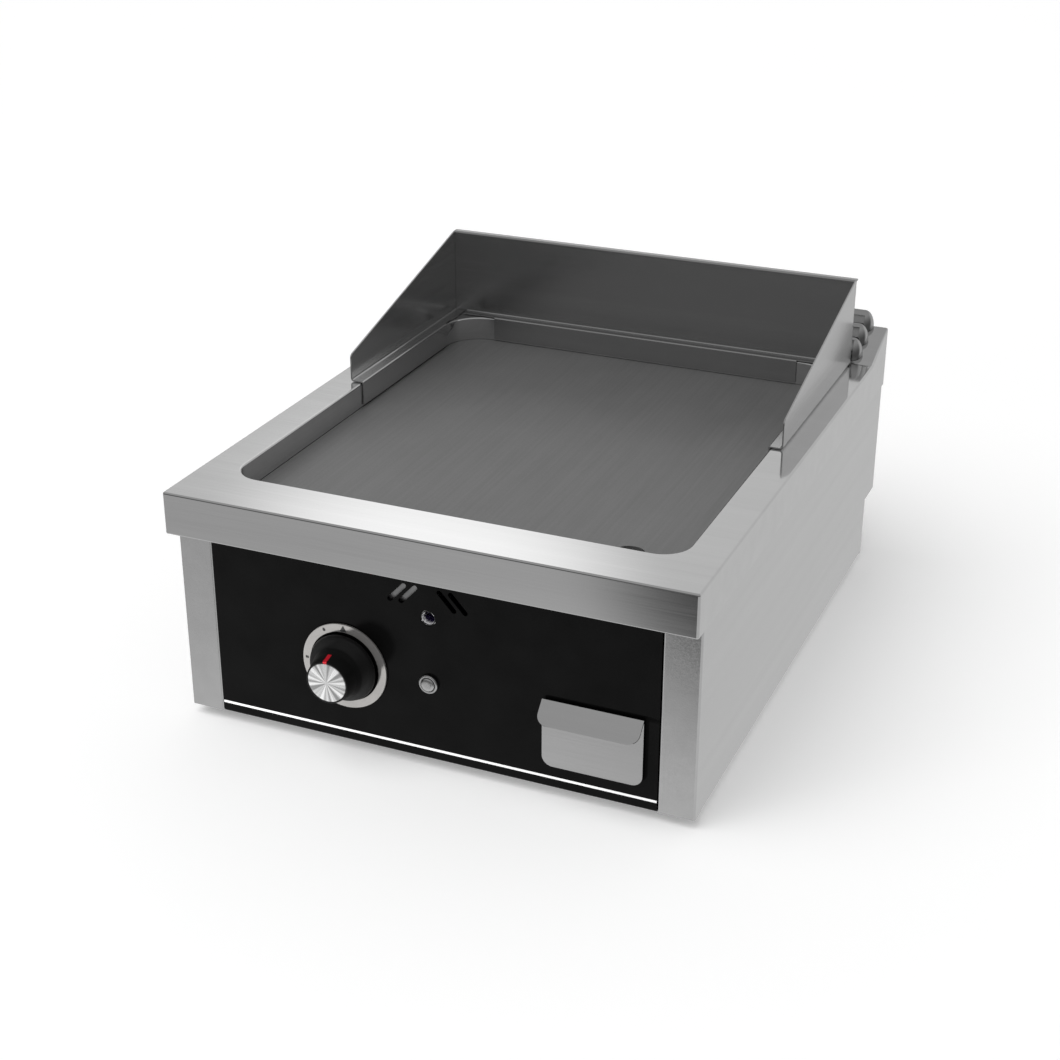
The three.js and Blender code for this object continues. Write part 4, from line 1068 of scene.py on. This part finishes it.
def world():
    """Pale to camera rays; to all others, a studio whose brightness depends on direction."""
    made = bpy.data.worlds.new("studio")
    bpy.context.scene.world = made
    made.use_nodes = True
    tree = made.node_tree
    tree.nodes.clear()
    out = tree.nodes.new("ShaderNodeOutputWorld")
    shade = tree.nodes.new("ShaderNodeBackground")
    where = tree.nodes.new("ShaderNodeTexCoord").outputs["Generated"]

    def value(kind, a, b):
        node = tree.nodes.new("ShaderNodeMath")
        node.operation = kind
        for socket, given in zip(node.inputs, (a, b)):
            if isinstance(given, (int, float)):
                socket.default_value = given
            else:
                tree.links.new(given, socket)
        return node.outputs[0]

    def step(source, start, end, low, high):
        node = tree.nodes.new("ShaderNodeMapRange")
        node.interpolation_type = "SMOOTHSTEP"
        tree.links.new(source, node.inputs["Value"])
        for key, given in (("From Min", start), ("From Max", end), ("To Min", low), ("To Max", high)):
            node.inputs[key].default_value = given
        return node.outputs["Result"]

    def toward(azimuth, elevation):
        """How nearly a direction points at azimuth (degrees from +Y towards -X) and elevation."""
        a, e = math.radians(azimuth), math.radians(elevation)
        node = tree.nodes.new("ShaderNodeVectorMath")
        node.operation = "DOT_PRODUCT"
        tree.links.new(where, node.inputs[0])
        node.inputs[1].default_value = (-math.sin(a) * math.cos(e), math.cos(a) * math.cos(e),
                                        math.sin(e))
        return node.outputs["Value"]

    def blob(total, azimuth, elevation, inner, outer, amount):
        """Adds amount within inner degrees of a direction, fading out at outer degrees."""
        spot = step(toward(azimuth, elevation), math.cos(math.radians(outer)),
                    math.cos(math.radians(inner)), 0, 1)
        return value("ADD", total, value("MULTIPLY", spot, amount))

    parts = tree.nodes.new("ShaderNodeSeparateXYZ")
    tree.links.new(where, parts.inputs[0])
    height, depth = parts.outputs["Z"], parts.outputs["Y"]
    back = step(depth, -0.25, 0.35, 0, 1)
    floor_front = step(height, -0.52, -0.43, FLOOR_NEAR, FLOOR_FAR)
    room = step(height, -0.38, -0.22, 0, 1)
    air = step(height, 0.0, 0.8, FRONT_ROOM, FRONT_TOP)
    front = value("ADD", value("MULTIPLY", floor_front, value("SUBTRACT", 1.0, room)),
                  value("MULTIPLY", room, air))
    sky = step(height, 0.5, 0.92, BACK_LOW, BACK_HIGH)
    total = value("ADD", value("MULTIPLY", front, value("SUBTRACT", 1.0, back)),
                  value("MULTIPLY", sky, back))
    for spot in BLOBS:
        total = blob(total, *spot)
    tree.links.new(value("MAXIMUM", total, 0.01), shade.inputs["Strength"])
    rays = tree.nodes.new("ShaderNodeLightPath")
    plain = tree.nodes.new("ShaderNodeBackground")
    plain.inputs["Color"].default_value = (1.0, 1.0, 1.0, 1.0)
    plain.inputs["Strength"].default_value = 1.0
    mix = tree.nodes.new("ShaderNodeMixShader")
    tree.links.new(rays.outputs["Is Camera Ray"], mix.inputs[0])
    tree.links.new(shade.outputs[0], mix.inputs[1])
    tree.links.new(plain.outputs[0], mix.inputs[2])
    tree.links.new(mix.outputs[0], out.inputs["Surface"])


def area_light(name, place, target, size, power):
    data = bpy.data.lights.new(name, "AREA")
    data.shape = "DISK"
    data.size = size
    data.energy = power
    obj = bpy.data.objects.new(name, data)
    obj.location = place
    obj.rotation_euler = (Vector(target) - Vector(place)).to_track_quat("-Z", "Y").to_euler()
    obj.visible_camera = False
    obj.visible_glossy = False
    bpy.context.scene.collection.objects.link(obj)


def sun_light(name, toward, angle, power):
    data = bpy.data.lights.new(name, "SUN")
    data.angle = angle
    data.energy = power
    obj = bpy.data.objects.new(name, data)
    obj.rotation_euler = Vector(toward).to_track_quat("Z", "Y").to_euler()
    obj.visible_glossy = False
    bpy.context.scene.collection.objects.link(obj)


def stage():
    """Pale floor that casts no shadow and isn't seen in reflections."""
    mesh = bpy.data.meshes.new("floor")
    bm = bmesh.new()
    bmesh.ops.create_grid(bm, x_segments=FLOOR_SQUARES, y_segments=FLOOR_SQUARES, size=FLOOR_SIZE)
    bm.to_mesh(mesh)
    bm.free()
    floor = bpy.data.objects.new("floor", mesh)
    bpy.context.scene.collection.objects.link(floor)
    floor.visible_glossy = False
    floor.visible_shadow = False
    n = Nodes("floor_paper")
    broad = n.noise(1.4, 2.0)
    n.set(Base_Color=n.tint(broad, grey(0.93), grey(0.95)), Roughness=0.9)
    n.set(Emission_Color=(1, 1, 1, 1), Emission_Strength=FLOOR_GLOW)
    n.shader.inputs["Specular IOR Level"].default_value = 0.0
    n.bump(n.noise(900.0, 2.0), 0.02, 0.0001)
    floor.data.materials.append(n.material)


def camera():
    data = bpy.data.cameras.new("camera")
    data.sensor_width = CAMERA_SENSOR
    data.lens = CAMERA_LENS
    data.clip_end = 200
    obj = bpy.data.objects.new("camera", data)
    obj.location = CAMERA_PLACE
    obj.rotation_euler = [math.radians(a) for a in CAMERA_TURN]
    bpy.context.scene.collection.objects.link(obj)
    bpy.context.scene.camera = obj


top_deck()
for hood in HOODS:
    flue_hood(hood)
for side in (-1, 1):
    side_panel(side)
    guard_wing(side)
guard_back()
front_panel()
slot_baffle()
griddle_plate()
dial()
knob()
igniter()
sight()
tray()
feet()
keep_cad_nodes()

stage()
world()
area_light("key", (-1.3, -1.9, 0.5), (0, -0.2, 0.1), 0.9, 8)
area_light("low_key", (-1.15, -1.5, -1.0), (-0.05, -0.25, 0.07), 0.2, 170)
sun_light("fill", (-0.35, -0.5, 1.0), math.radians(60), 1.6)
camera()
bpy.context.scene.view_settings.view_transform = "Standard"
